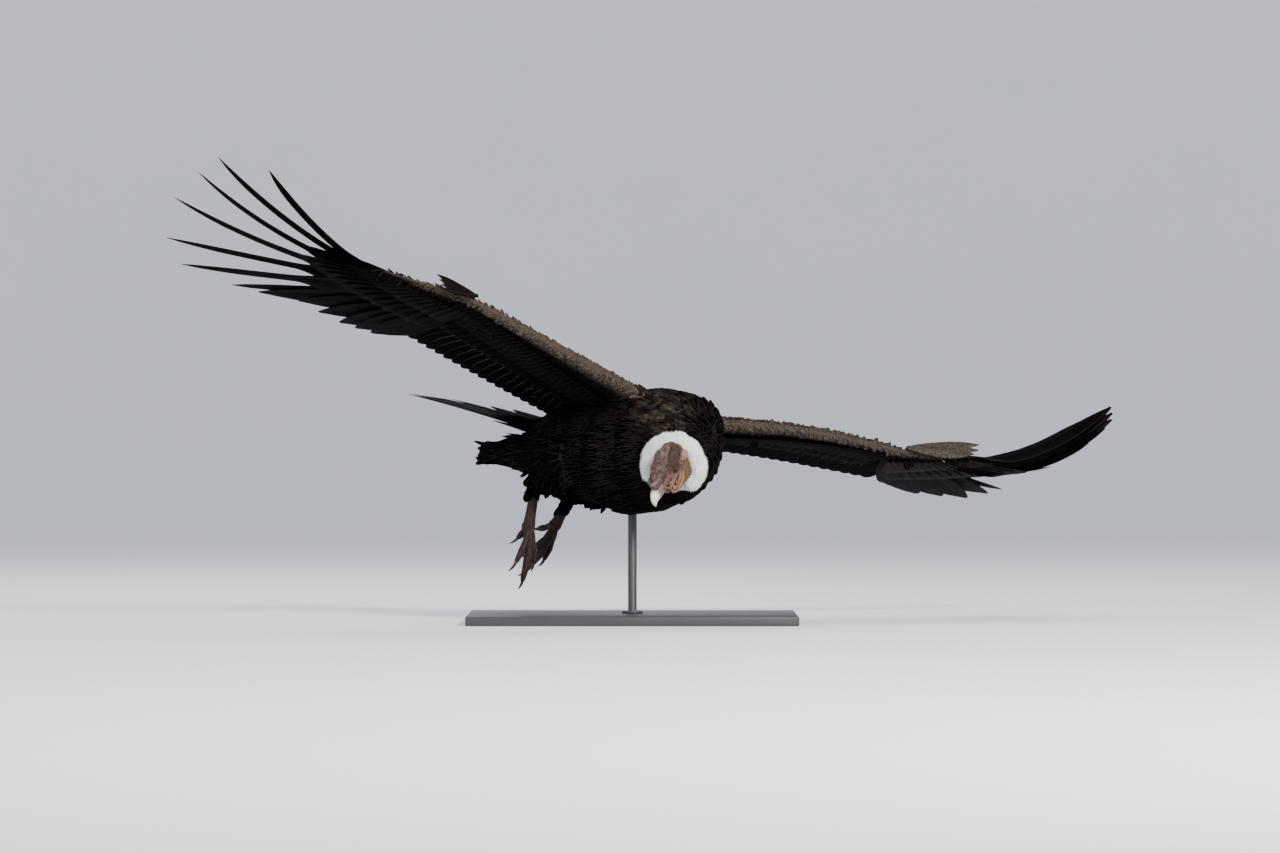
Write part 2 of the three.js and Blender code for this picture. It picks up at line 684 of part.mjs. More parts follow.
function legParts(name, leg, torso) {
  const { side, toesBack, toesIn } = leg;
  const [hip, ankle, pad] = [leg.hip, leg.ankle, leg.pad].map((p) => vec(...p));
  const down = vec(-side * Math.sin(rad(toesIn)), -Math.sin(rad(toesBack)), -Math.cos(rad(toesBack))).normalize();
  const out = vec(side, 0, 0).addScaledVector(down, -side * down.x).normalize();
  const front = vec(0, 0, 0).crossVectors(out, down).multiplyScalar(side).normalize();
  if (front.y < 0) front.negate();
  const tarsus = (grow) => limb([ankle, ankle.clone().lerp(pad, 0.5), pad], [17, 13, 11.5, 12, 15], 10, grow);
  const thighPath = [hip, hip.clone().lerp(ankle, 0.55), ankle.clone().lerp(pad, 0.22)];
  const thigh = limb(thighPath, [78, 74, 60, 42, 20], 12).subtract(union([torso, tarsus(GAP)]));
  const pieces = [tarsus(0), lump(pad.clone().addScaledVector(front, -3), [16, 15, 16], 8, 5)];
  const claws = [];
  for (const toe of TOES) {
    const length = MIDDLE_TOE * toe.share;
    const heading = down
      .clone()
      .multiplyScalar(Math.cos(rad(toe.spread)))
      .addScaledVector(out, Math.sin(rad(toe.spread)))
      .addScaledVector(front, toe.front > 0 ? 0.12 : -0.75)
      .normalize();
    const root = pad.clone().addScaledVector(front, toe.front > 0 ? 4 : -8);
    const tip = root.clone().addScaledVector(heading, length).addScaledVector(front, -0.08 * length);
    const middle = root.clone().lerp(tip, 0.5).addScaledVector(front, 0.06 * length);
    const r = toe.radius;
    pieces.push(limb([root, middle, tip], [r, r * 1.15, r * 0.9, r * 1.1, r * 0.85, r * 0.6], 6));
    const onward = tip.clone().sub(middle).normalize();
    const clawRoot = tip.clone().addScaledVector(onward, -6);
    const clawAt = (ahead, under) => clawRoot.clone().addScaledVector(onward, ahead).addScaledVector(front, -under);
    const claw = (grow) => limb([clawAt(0, 0), clawAt(17, 1), clawAt(31, 11)], [4.6, 4.4, 3.2, 0.7], 6, grow);
    claws.push([toe.name, claw(0), claw(GAP)]);
  }
  const foot = union(pieces);
  const socketed = foot.subtract(union(claws.map(([, , grown]) => grown)));
  return [
    meshOf(`thigh_${name}`, thigh, FINISHES.plumage),
    meshOf(`foot_${name}`, socketed.subtract(torso), FINISHES.scutes),
    ...claws.map(([toe, claw]) => meshOf(`claw_${name}_${toe}`, claw, FINISHES.claw)),
  ];
}

const bird = new THREE.Group();
const torsoGrown = body(TORSO, 18, GAP);
bird.add(meshOf("torso", body(TORSO, 18), FINISHES.plumage));
bird.add(...headParts(torsoGrown));
for (const [name, pose] of Object.entries(POSES)) bird.add(...wingParts(name, pose, torsoGrown));
const { tail, vent } = tailParts(torsoGrown);
bird.add(meshOf("tail", tail, FINISHES.flight), meshOf("vent", vent, FINISHES.plumage));
for (const [name, leg] of Object.entries(LEGS)) bird.add(...legParts(name, leg, torsoGrown));
bird.rotation.set(rad(NOSE_UP), rad(-BANK_LEFT), rad(180 + HEADING), "ZXY");
bird.position.set(...BIRD_AT);

// Stand: a flat base, and a rod up into the belly
const rodLength = ROD_TOP - BASE_SIZE[2] - GAP;
const rodGeometry = new THREE.CylinderGeometry(ROD_RADIUS, ROD_RADIUS, rodLength, 16)
  .rotateX(Math.PI / 2)
  .translate(...ROD_AT, BASE_SIZE[2] + GAP + rodLength / 2);
bird.updateMatrix();
const belly = placed(torsoGrown, bird.matrix);
const base = new THREE.Mesh(new THREE.BoxGeometry(...BASE_SIZE).translate(0, 0, BASE_SIZE[2] / 2), FINISHES.stand);
base.name = "stand_base";

const condor = new THREE.Group();
condor.add(bird, base, meshOf("stand_rod", solidOf(rodGeometry).subtract(belly), FINISHES.stand));
export default condor;
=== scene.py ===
# %% [markdown]
# # An Andean condor in a banked glide
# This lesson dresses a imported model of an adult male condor. The solids already give every form at its real
# size, in metres, so each step below only adds what a hand would feel or an eye would see: bare skin,
# flight feathers with split barbs, small body feathers, down, horn, and the painted stand.

import json
import math

import bmesh
import bpy
import numpy as np
from mathutils import Matrix, Vector, noise
from mathutils.bvhtree import BVHTree

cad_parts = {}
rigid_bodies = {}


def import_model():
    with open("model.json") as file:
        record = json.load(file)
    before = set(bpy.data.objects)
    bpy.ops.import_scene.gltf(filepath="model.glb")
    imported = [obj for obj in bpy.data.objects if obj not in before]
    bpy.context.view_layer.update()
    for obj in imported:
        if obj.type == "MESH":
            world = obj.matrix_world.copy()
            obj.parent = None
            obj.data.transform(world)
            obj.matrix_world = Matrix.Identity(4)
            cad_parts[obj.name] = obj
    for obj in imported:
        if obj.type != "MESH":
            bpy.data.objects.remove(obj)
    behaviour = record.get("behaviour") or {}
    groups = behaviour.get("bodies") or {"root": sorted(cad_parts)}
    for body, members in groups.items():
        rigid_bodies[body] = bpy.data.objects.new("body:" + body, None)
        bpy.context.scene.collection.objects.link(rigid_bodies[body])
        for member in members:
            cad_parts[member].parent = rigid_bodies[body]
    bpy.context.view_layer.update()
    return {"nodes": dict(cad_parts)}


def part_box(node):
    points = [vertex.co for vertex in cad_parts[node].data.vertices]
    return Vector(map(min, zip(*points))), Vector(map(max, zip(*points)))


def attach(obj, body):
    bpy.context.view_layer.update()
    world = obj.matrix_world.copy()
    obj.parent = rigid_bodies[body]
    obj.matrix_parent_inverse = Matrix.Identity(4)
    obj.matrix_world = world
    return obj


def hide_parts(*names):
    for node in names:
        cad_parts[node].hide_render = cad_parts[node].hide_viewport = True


bpy.ops.object.select_all(action="SELECT")
bpy.ops.object.delete()
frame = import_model()
nodes = frame["nodes"]

# %% [markdown]
# ## The camera, the floor and the light
# The photographer stood level with the bird and far away, so the lens is long and nothing looks steep.
# A studio bowl, a floor that curves up into a wall all round, gives a pale ground with no corner from any
# side. It is a flat grid bent round into a disc, whose outer rows are lifted along an arc.

# %% Camera at the photograph's viewing angle
CAMERA_AWAY = 15.968
CAMERA_SIDE = 0.019
CAMERA_HIGH = 0.490
LENS = 180

camera_data = bpy.data.cameras.new("camera")
camera_data.lens = LENS
camera_data.sensor_width = 36
camera_data.clip_end = 80
camera = bpy.data.objects.new("camera", camera_data)
camera.location = (CAMERA_SIDE, -CAMERA_AWAY, CAMERA_HIGH)
camera.rotation_euler = (math.radians(90), 0, 0)
bpy.context.scene.collection.objects.link(camera)
bpy.context.scene.camera = camera
print("camera", tuple(round(v, 2) for v in camera.location))


# %% Helpers that select, name and finish a piece
def deselect():
    """Nothing stays selected, so the next operator acts only on what it is given."""
    if bpy.context.object and bpy.context.object.mode != "OBJECT":
        bpy.ops.object.mode_set(mode="OBJECT")
    bpy.ops.object.select_all(action="DESELECT")


def pick(*objects):
    """These objects are selected, and the first is the active one."""
    deselect()
    for one in objects:
        one.select_set(True)
    bpy.context.view_layer.objects.active = objects[0]


def apply_modifiers(piece):
    """Every modifier of the piece becomes part of its mesh."""
    pick(piece)
    for modifier in list(piece.modifiers):
        bpy.ops.object.modifier_apply(modifier=modifier.name)


def edit_all(piece, operator, **settings):
    """One edit-mode operator acts on the piece's whole mesh."""
    pick(piece)
    bpy.ops.object.mode_set(mode="EDIT")
    bpy.ops.mesh.select_all(action="SELECT")
    operator(**settings)
    bpy.ops.object.mode_set(mode="OBJECT")


def smooth_shaded(piece):
    """The piece's faces are shaded as one smooth surface."""
    pick(piece)
    bpy.ops.object.shade_smooth()


def copy_of(node_names, name):
    """One object made of copies of CAD nodes, with doubled corners merged."""
    copies = []
    for node in node_names:
        twin = nodes[node].copy()
        twin.data = nodes[node].data.copy()
        for key in list(twin.keys()):
            del twin[key]
        twin.parent = None
        bpy.context.scene.collection.objects.link(twin)
        twin.data.materials.clear()
        copies.append(twin)
    pick(*copies)
    if len(copies) > 1:
        bpy.ops.object.join()
    whole = bpy.context.object
    whole.name = name
    whole.data.name = name
    edit_all(whole, bpy.ops.mesh.remove_doubles, threshold=0.00002)
    return whole


def points_of(piece):
    """The piece's corners as an array."""
    found = np.zeros(len(piece.data.vertices) * 3)
    piece.data.vertices.foreach_get("co", found)
    return found.reshape(-1, 3)


def normals_of(piece):
    """The piece's corner normals as an array."""
    found = np.zeros(len(piece.data.vertices) * 3)
    piece.data.vertices.foreach_get("normal", found)
    return found.reshape(-1, 3)


def move_points(piece, places):
    """The piece's corners go to new places."""
    piece.data.vertices.foreach_set("co", np.ascontiguousarray(places, float).ravel())
    piece.data.update()


def settle(piece, material, replaced=()):
    """The piece gets its material and its place on the model."""
    piece.data.materials.clear()
    piece.data.materials.append(material)
    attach(piece, "root")
    if replaced:
        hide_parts(*replaced)
    print(piece.name, len(piece.data.polygons), "faces")


# %% Floor that curves up into a backdrop on every side
FLOOR_RADIUS = 21.0
SWEEP_RADIUS = 7.0
WALL_HEIGHT = 16.0
ROWS = 40
SPOKES = 96

deselect()
bpy.ops.mesh.primitive_grid_add(x_subdivisions=SPOKES, y_subdivisions=ROWS, size=1)
floor = bpy.context.object
floor.name = "floor"
flat = points_of(floor)
run = (flat[:, 1] + 0.5) * (FLOOR_RADIUS + SWEEP_RADIUS * math.pi / 2 + WALL_HEIGHT)
turned = np.clip((run - FLOOR_RADIUS) / SWEEP_RADIUS, 0, math.pi / 2)
wall = np.clip(run - FLOOR_RADIUS - SWEEP_RADIUS * math.pi / 2, 0, None)
outwards = np.minimum(run, FLOOR_RADIUS) + SWEEP_RADIUS * np.sin(turned)
about = -(flat[:, 0] + 0.5) * 2 * math.pi
height = SWEEP_RADIUS * (1 - np.cos(turned)) + wall
move_points(floor, np.stack([outwards * np.cos(about), outwards * np.sin(about), height], axis=1))
edit_all(floor, bpy.ops.mesh.remove_doubles, threshold=0.0001)
smooth_shaded(floor)
print("floor", ROWS, "rows and", SPOKES, "spokes")


# %% [markdown]
# ## Writing shader maths as plain sums
# A material is a small program. Wrapping each socket in a class lets the maths read as it would on
# paper, and one method adds every other node.

# %% A wrapper for sockets
class Wire:
    """One output of a node, which can be added, multiplied and mixed."""

    def __init__(self, recipe, socket):
        self.recipe = recipe
        self.socket = socket

    def maths(self, operation, *values):
        return self.recipe.node("ShaderNodeMath", {"operation": operation}, dict(enumerate(values)))

    def __add__(self, other):
        return self.maths("ADD", self, other)

    def __sub__(self, other):
        return self.maths("SUBTRACT", self, other)

    def __rsub__(self, other):
        return self.maths("SUBTRACT", other, self)

    def __mul__(self, other):
        return self.maths("MULTIPLY", self, other)

    def __abs__(self):
        return self.maths("ABSOLUTE", self)

    __radd__ = __add__
    __rmul__ = __mul__

    def step(self, low, high):
        """Nought below low, one above high, and smooth between."""
        limits = {"Value": self, "From Min": low, "From Max": high}
        return self.recipe.node("ShaderNodeMapRange", {"interpolation_type": "SMOOTHSTEP"}, limits)


class Recipe:
    """A material in the making."""

    def __init__(self, name):
        self.material = bpy.data.materials.new(name)
        self.material.use_nodes = True
        self.tree = self.material.node_tree
        self.shader = self.tree.nodes["Principled BSDF"]

    def node(self, kind, settings=None, inputs=None, out=0):
        """A node of one type, with its settings, and the values or wires of its sockets."""
        made = self.tree.nodes.new(kind)
        for key, value in (settings or {}).items():
            setattr(made, key, value)
        for key, value in (inputs or {}).items():
            self.feed(made.inputs[key], value)
        return Wire(self, made.outputs[out])

    def feed(self, socket, value):
        """A socket takes a wire or a plain value."""
        if isinstance(value, Wire):
            self.tree.links.new(value.socket, socket)
        else:
            socket.default_value = value

    def set(self, **values):
        """Sockets of the main shader, by name with underscores for spaces."""
        for key, value in values.items():
            self.feed(self.shader.inputs[key.replace("_", " ")], value)

    def place(self):
        """The object's own coordinates, in metres."""
        return self.node("ShaderNodeTexCoord", out="Object")

    def attribute(self, name, out="Fac"):
        return self.node("ShaderNodeAttribute", {"attribute_name": name}, out=out)

    def noise(self, scale, detail=3.0, where=None):
        inputs = {"Vector": where or self.place(), "Scale": scale, "Detail": detail}
        return self.node("ShaderNodeTexNoise", {}, inputs, "Fac")

    def cells(self, scale):
        return self.node("ShaderNodeTexVoronoi", {}, {"Vector": self.place(), "Scale": scale}, "Distance")

    def mix(self, share, first, second):
        """From the first colour to the second one."""
        return self.node("ShaderNodeMix", {"data_type": "RGBA"}, {0: share, 6: first, 7: second}, 2)

    def bump(self, height, depth):
        """Fine relief, where a height of one stands so many metres proud."""
        return self.node("ShaderNodeBump", {}, {"Height": height, "Distance": depth, "Strength": 1.0}, "Normal")


def colour(red, green, blue):
    """A colour given as seen on a screen, from 0 to 255, for a shader."""
    linear = [(v / 255) ** 2.2 for v in (red, green, blue)]
    return (*linear, 1.0)


print("shader helpers ready")

# %% Backdrop paint and soft studio lights
paper = Recipe("backdrop_paper")
paper.set(
    Base_Color=paper.mix(paper.noise(0.8), colour(214, 217, 222), colour(222, 224, 228)),
    Roughness=0.9,
    Emission_Color=colour(205, 208, 214),
    Emission_Strength=0.34,
)
floor.data.materials.append(paper.material)

LIGHTS = [
    ("key", (4.2, -8.0, 4.6), 1.8, 1750, (1.0, 0.96, 0.90)),
    ("fill", (-6.5, -6.0, 2.4), 3.5, 120, (0.93, 0.96, 1.0)),
    ("back", (-1.5, 3.6, 5.5), 3.0, 260, (0.94, 0.97, 1.0)),
]
AIM = Vector((0.05, 0.1, 0.5))
for name, at, size, power, tint in LIGHTS:
    lamp = bpy.data.lights.new(name, "AREA")
    lamp.size = size
    lamp.energy = power
    lamp.color = tint
    holder = bpy.data.objects.new(name, lamp)
    holder.location = at
    holder.rotation_euler = (AIM - Vector(at)).to_track_quat("-Z", "Y").to_euler()
    bpy.context.scene.collection.objects.link(holder)
world = bpy.data.worlds.new("studio")
world.use_nodes = True
sky = world.node_tree.nodes["Background"].inputs
sky["Color"].default_value = (0.80, 0.85, 0.92, 1)
sky["Strength"].default_value = 0.50
bpy.context.scene.world = world
print(len(LIGHTS), "soft lights")

# %% [markdown]
# ## The bird's own frame
# The solids were built in a frame with +X to the bird's right, +Y towards its bill and +Z to its back.
# The same sizes are named here, in metres, so that feathers grow from where the bones are. Its wings
# have an arm and a hand, each with a direction outwards, one to the rear and one up out of the wing.


# %% Frames of the body, the head and the wings
def turned_frame(at, about_x, about_y, about_z):
    """A frame at a place, rolled about Y, then pitched about X, then turned about Z, in degrees."""
    turn = Matrix.Rotation(math.radians(about_z), 4, "Z")
    pitch = Matrix.Rotation(math.radians(about_x), 4, "X")
    roll = Matrix.Rotation(math.radians(about_y), 4, "Y")
    return Matrix.Translation(at) @ turn @ pitch @ roll


BIRD = turned_frame((0.010, -0.004, 0.476), -1, -19, 226)
HEAD = BIRD @ turned_frame((0.120, 0.255, -0.118), -80.6, -97, -172)
TAIL = BIRD @ turned_frame((0, -0.322, 0.006), -13.5, 8, 0)


def seen_from(whole, places):
    """World places in a frame's own coordinates."""
    inverse = np.array(whole.inverted())
    return places @ inverse[:3, :3].T + inverse[:3, 3]


def put_from(whole, places):
    """Places in a frame as world places."""
    matrix = np.array(whole)
    return np.asarray(places, float) @ matrix[:3, :3].T + matrix[:3, 3]


def turned_by(whole, directions):
    """Directions in a frame as world directions."""
    return put_from(whole, directions) - put_from(whole, [[0, 0, 0]])


def of_bird(direction):
    """One direction in the bird's frame as a world direction."""
    return np.array(BIRD.to_3x3() @ Vector(direction))


def unit(vectors):
    """Vectors of length one."""
    vectors = np.asarray(vectors, float)
    return vectors / np.maximum(np.linalg.norm(vectors, axis=-1, keepdims=True), 1e-9)


def smooth_step(values, low, high):
    """Nought below low, one above high, and smooth between."""
    share = np.clip((values - low) / (high - low), 0, 1)
    return share * share * (3 - 2 * share)


SHOULDER = (0.094, 0.118, 0.062)
ARM_LENGTH = 0.585
HAND_LENGTH = 0.250
ARM_CHORD = (0.175, 0.074)
HAND_CHORD = (0.074, 0.024)
# The fades of the hand and the thumb give a brown tint that is partly faded feathers and partly painted light, stronger
# on the left wing.
POSES = {
    "right": {
        "side": 1, "sweep": -12.5, "rise": 6, "incidence": 4, "arch": 0.0, "hand_back": 26, "hand_rise": -4,
        "hand_incidence": 13, "fan_from": 64, "hand_fade": (0.02, 0.05), "alula_width": 0.021, "alula_fade": 0.05,
        "alula_at": -0.10, "alula_rise": [0.20, 0.08, -0.05, -0.20], "alula_length": [0.114, 0.104, 0.096, 0.090],
    },
    "left": {
        "side": -1, "sweep": 17, "rise": 11.6, "incidence": 2, "arch": 0.018, "hand_back": 2, "hand_rise": 2,
        "hand_incidence": 13, "fan_from": 54, "hand_fade": (0.10, 0.20), "alula_width": 0.030, "alula_fade": 0.6,
        "alula_at": 0.10, "alula_rise": [0.11, 0.03, -0.04, -0.10], "alula_length": [0.225, 0.215, 0.195, 0.170],
    },
}


def lerp(first, last, share):
    """Part of the way from one value to another."""
    return first + (last - first) * share


class Stretch:
    """The arm or the hand of one wing: its directions, its leading edge and its chord."""

    def __init__(self, side, sweep, rise, incidence, start, length, chords, arch):
        sweep, rise, incidence = (math.radians(v) for v in (sweep, rise, incidence))
        out = Vector((side * math.cos(rise) * math.cos(sweep), math.cos(rise) * math.sin(sweep), math.sin(rise)))
        up = (Vector((0, 0, 1)) - out * out.z).normalized()
        up = Matrix.Rotation(side * incidence, 3, out) @ up
        rear = out.cross(up) * side
        turn = BIRD.to_3x3()
        self.side = side
        self.out, self.up, self.rear = (np.array(turn @ v) for v in (out, up, rear))
        self.start, self.length, self.chords, self.arch = start, length, chords, arch

    def edge(self, share):
        """A place on the leading edge, part of the way out."""
        share = np.asarray(share, float)[..., None]
        bowed = self.arch * np.sin(np.pi * share)
        return self.start + self.out * (self.length * share) + self.up * bowed

    def chord(self, share):
        """How far the flesh reaches to the rear there."""
        return lerp(*self.chords, np.asarray(share, float))


def wing_of(pose):
    """The arm and the hand of a wing."""
    side = pose["side"]
    start = np.array(BIRD @ Vector((side * SHOULDER[0], SHOULDER[1], SHOULDER[2])))
    arm = Stretch(side, pose["sweep"], pose["rise"], pose["incidence"], start, ARM_LENGTH, ARM_CHORD, pose["arch"])
    wrist = start + arm.out * ARM_LENGTH
    hand = Stretch(
        side, pose["sweep"] - pose["hand_back"], pose["rise"] + pose["hand_rise"], pose["hand_incidence"],
        wrist, HAND_LENGTH, HAND_CHORD, 0.0)
    return arm, hand


WINGS = {name: wing_of(pose) for name, pose in POSES.items()}
print("wrists", [tuple(np.round(hand.start, 3)) for _, hand in WINGS.values()])

# %% [markdown]
# ## One skin under everything
# On the animal one skin runs from the bill to the toes. It is bare and wrinkled on the head, neck and comb,
# scaly on the feet, and hidden under feathers elsewhere. Copies of the fleshy solids are joined and
# remeshed into a single surface, the feathered part is drawn in by the depth of its coat, and the three
# bare parts, remeshed finely, are fused to it.

# %% Feathered part of the skin, drawn in by the depth of its coat
COAT_DEPTH = {
    "torso": 0.012, "vent": 0.004, "thigh": 0.009, "arm": 0.007, "hand": 0.003, "neck": 0.005, "head": 0.008}
VENT_VOXEL = 0.016
BODY_VOXEL = 0.0072
TUCK_DEPTH = 0.010
TUCK_AT = -0.055
TUCK_WIDTH = 0.050
BODY_NODES = ["torso", "vent", "thigh_right", "thigh_left", "neck", "head", "wing_right_arm", "wing_right_hand",
              "wing_left_arm", "wing_left_hand"]


def remeshed(piece, voxel, smoothing):
    """The piece as one even surface, with its facets smoothed away."""
    remesh = piece.modifiers.new("even", "REMESH")
    remesh.mode = "VOXEL"
    remesh.voxel_size = voxel
    smooth = piece.modifiers.new("soft", "SMOOTH")
    smooth.factor = 0.5
    smooth.iterations = smoothing
    apply_modifiers(piece)
    return piece


def tree_of(node):
    """A search tree over a CAD node's surface."""
    mesh = bmesh.new()
    mesh.from_mesh(nodes[node].data)
    tree = BVHTree.FromBMesh(mesh)
    mesh.free()
    return tree


TREES = {node: tree_of(node) for node in BODY_NODES + ["comb", "wattle", "foot_right", "foot_left"]}


def nearest_nodes(places, names, reach=0.05):
    """For each place, the number of the nearest CAD node in a list of names."""
    best = np.full(len(places), 9.0)
    owner = np.zeros(len(places), int)
    for number, name in enumerate(names):
        find = TREES[name].find_nearest
        found = np.array([find(p, reach)[3] or 9.0 for p in places], float)
        nearer = found < best
        best[nearer] = found[nearer]
        owner[nearer] = number
    return owner


vent_mass = remeshed(copy_of(["vent"], "vent_mass"), VENT_VOXEL, 1)
body_skin = copy_of([name for name in BODY_NODES if name != "vent"], "skin")
pick(body_skin, vent_mass)
bpy.ops.object.join()
body_skin = remeshed(bpy.context.object, BODY_VOXEL, 6)
full_places = points_of(body_skin)
full_normals = normals_of(body_skin)
owners = nearest_nodes(full_places, BODY_NODES)
depths = np.array([next(d for key, d in COAT_DEPTH.items() if key in name) for name in BODY_NODES])[owners]
for name, (arm, hand) in WINGS.items():
    along = (full_places - arm.start) @ arm.out / ARM_LENGTH
    on_arm = np.array([BODY_NODES[o] == f"wing_{name}_arm" for o in owners])
    depths = np.where(on_arm, depths * np.clip(1.15 - 0.6 * along, 0.45, 1), depths)
move_points(body_skin, full_places - full_normals * depths[:, None])
drawn_in = points_of(body_skin)
below = smooth_step(-drawn_in[:, 2], -0.400, -0.330)
drawn_in[:, 2] += TUCK_DEPTH * np.exp(-((drawn_in[:, 0] - TUCK_AT) / TUCK_WIDTH) ** 2) * below
move_points(body_skin, drawn_in)
relax = body_skin.modifiers.new("relax", "SMOOTH")
relax.iterations = 3
apply_modifiers(body_skin)
print("feathered skin", len(body_skin.data.polygons), "faces, drawn in by", round(float(depths.mean()) * 1000, 1), "mm")

# %% [markdown]
# The bare skin of an old male is all relief: pebbles on the comb, long folds on the cheeks, pleats where
# the neck leaves the ruff. Each is a sum of waves and noise over the head's own frame, in millimetres. The
# same relief is used twice, to push the skin out and to darken its creases as painted shade, so shape and colour
# agree. What still lies lower than an evened copy of the skin is darkened once more as painted shade, and what
# stands higher is kept lighter as painted light.

# %% Relief of the bare skin
RUFF_AT = np.array([0.077, 0.235, -0.111])
RUFF_AXIS = unit(np.array([0.65, 0.55, -0.52]))
THROAT = unit(np.array([0.0, 0.0, -1.0]) + RUFF_AXIS * RUFF_AXIS[2])
BESIDE = np.cross(RUFF_AXIS, THROAT)
BARE_NODES = ["head", "comb", "wattle", "neck"]


def soft_noise(places, scale, shift=0.0):
    """Smooth noise from -1 to 1 at places, with features of about one over the scale."""
    offset = Vector((shift, -shift, 2 * shift))
    return np.array([noise.noise(Vector(p) * scale + offset) for p in places])


def pebbles(places, scale):
    """One in the middle of each cell, and nought on the lines between cells."""
    return 1 - np.array([noise.voronoi(Vector(p) * scale)[0][0] for p in places]) * 1.5


def distances(places, names, reach=0.06):
    """How far each place is from each named CAD node."""
    found = {}
    for name in names:
        find = TREES[name].find_nearest
        found[name] = np.array([find(p, reach)[3] or reach for p in places], float)
    return found


def bare_zones(places):
    """How much each place belongs to the comb, the cheek, the neck, the eyelids and the ear."""
    away = distances(places, BARE_NODES)
    at = seen_from(HEAD, places) * 1000
    wide, ahead, high = np.abs(at[:, 0]), at[:, 1], at[:, 2]
    skull = np.minimum(away["head"], away["wattle"])
    comb = smooth_step(np.minimum(skull, away["neck"]) - away["comb"], -0.001, 0.0015)
    neck = smooth_step(np.minimum(skull, away["comb"]) - away["neck"], -0.001, 0.002)
    cheek = smooth_step(-high, 2, 9) * smooth_step(ahead, -6, 6) * (1 - comb) * (1 - neck)
    from_eye = np.sqrt((ahead - 4) ** 2 + (high - 1) ** 2)
    lids = smooth_step(-from_eye, -17, -12) * smooth_step(wide, 22, 26) * (1 - comb) * (1 - neck)
    ear = smooth_step(-np.sqrt((ahead + 34) ** 2 + (high + 8) ** 2), -17, -11) * smooth_step(wide, 20, 27)
    return {"comb": comb, "neck": neck, "cheek": cheek, "lids": lids, "ear": ear * (1 - neck)}, at


def skin_relief(places, zones, at):
    """Height of the folds and pebbles at each place, in millimetres."""
    in_bird = seen_from(BIRD, places) - RUFF_AT
    angle = np.arctan2(in_bird @ BESIDE, in_bird @ THROAT)
    up_neck = in_bird @ RUFF_AXIS * 1000
    stretched = at * np.array([1.0, 0.4, 1.0])
    lumps = soft_noise(at, 1 / 13, 3.1)
    comb = 1.5 * lumps + 1.0 * pebbles(at, 1 / 4.2)
    folds = np.cos((at[:, 2] + 0.55 * np.abs(at[:, 0]) + 2.6 * lumps) * 2 * np.pi / 6.2)
    pleats = np.cos(46 * angle + 2.2 * lumps) * 1.3 + 0.7 * np.cos(up_neck * 2 * np.pi / 11 + 2 * lumps)
    wrinkles = 0.9 - 2.2 * np.abs(soft_noise(stretched, 1 / 6.5, 7.7))
    rings = np.cos(np.sqrt((at[:, 1] - 4) ** 2 + (at[:, 2] - 1) ** 2) * 2 * np.pi / 4.6)
    plain = 1 - np.clip(sum(zones.values()), 0, 1)
    return (zones["comb"] * comb + zones["cheek"] * (1.5 * folds + 0.5 * wrinkles) + zones["neck"] * pleats
            + zones["lids"] * 0.5 * rings + zones["ear"] * (1.2 * wrinkles + 0.8) + plain * wrinkles)


print("relief ready for", BARE_NODES)

# %% Sculpt the bare head and neck
HEAD_VOXEL = 0.0013
head_skin = copy_of(BARE_NODES, "head_skin")
NECK_ROOT = BIRD @ Vector((0.054, 0.214, -0.096))
deselect()
bpy.ops.mesh.primitive_uv_sphere_add(segments=32, ring_count=16, radius=0.040, location=NECK_ROOT)
neck_root = bpy.context.object
pick(head_skin, neck_root)
bpy.ops.object.join()
remeshed(head_skin, HEAD_VOXEL, 5)
places = points_of(head_skin)
zones, at_head = bare_zones(places)
heights = skin_relief(places, zones, at_head) * 0.001
move_points(head_skin, places + normals_of(head_skin) * (heights - 0.0004)[:, None])
print("bare head", len(head_skin.data.polygons), "faces, folds", round(float(np.ptp(heights)) * 1000, 1), "mm deep")

# %% [markdown]
# The feet are bare too. Their scales are wide plates across the front of each toe and small beads
# elsewhere, so beads are pushed out of the skin here and the finer lines are left to the material.

# %% Scaled feet
FOOT_VOXEL = 0.0017
BEAD_HEIGHT = 0.0006
FOOT_PUSH = 0.0014
feet = []
for side in POSES:
    foot = remeshed(copy_of([f"foot_{side}"], f"foot_skin_{side}"), FOOT_VOXEL, 3)
    places = points_of(foot)
    beads = pebbles(seen_from(BIRD, places) * 1000, 1 / 4.0) * BEAD_HEIGHT
    move_points(foot, places + normals_of(foot) * (beads + FOOT_PUSH)[:, None])
    feet.append(foot)
print("feet", [len(foot.data.polygons) for foot in feet])

# %% Fuse the bare parts to the feathered part
skin = body_skin
for part in (head_skin, *feet):
    fuse = skin.modifiers.new("fuse", "BOOLEAN")
    fuse.operation = "UNION"
    fuse.solver = "MANIFOLD"
    fuse.object = part
    apply_modifiers(skin)
    bpy.data.objects.remove(part)
smooth_shaded(skin)
print("one skin of", len(skin.data.polygons), "faces")

# %% [markdown]
# ### Colours of the skin
# The comb is brownish grey, the cheeks flush pink with a yellow patch below the eye, the crown is dark, the
# creases are darkened as painted shade, and the feet are slate. Working the tint out corner by corner and
# storing it on the mesh lets the coat borrow it, and lets it follow the folds exactly.

# %% Tint the skin
def screen(red, green, blue):
    """A colour as seen on a screen, as an array for mixing."""
    return np.array(colour(red, green, blue)[:3])


def blended(base, other, share):
    """Colours part of the way to another colour."""
    return base + (other - base) * np.clip(share, 0, 1)[:, None]


def store(piece, name, values):
    """A number or a colour at each corner of the mesh."""
    values = np.asarray(values, float)
    if values.ndim == 1:
        layer = piece.data.attributes.new(name, "FLOAT", "POINT")
        layer.data.foreach_set("value", values)
        return
    layer = piece.data.attributes.new(name, "FLOAT_COLOR", "POINT")
    full = np.ones((len(values), 4))
    full[:, :3] = values
    layer.data.foreach_set("color", full.ravel())


def all_over(red, green, blue):
    """One colour at every corner of the skin."""
    return np.tile(screen(red, green, blue), (len(places), 1))


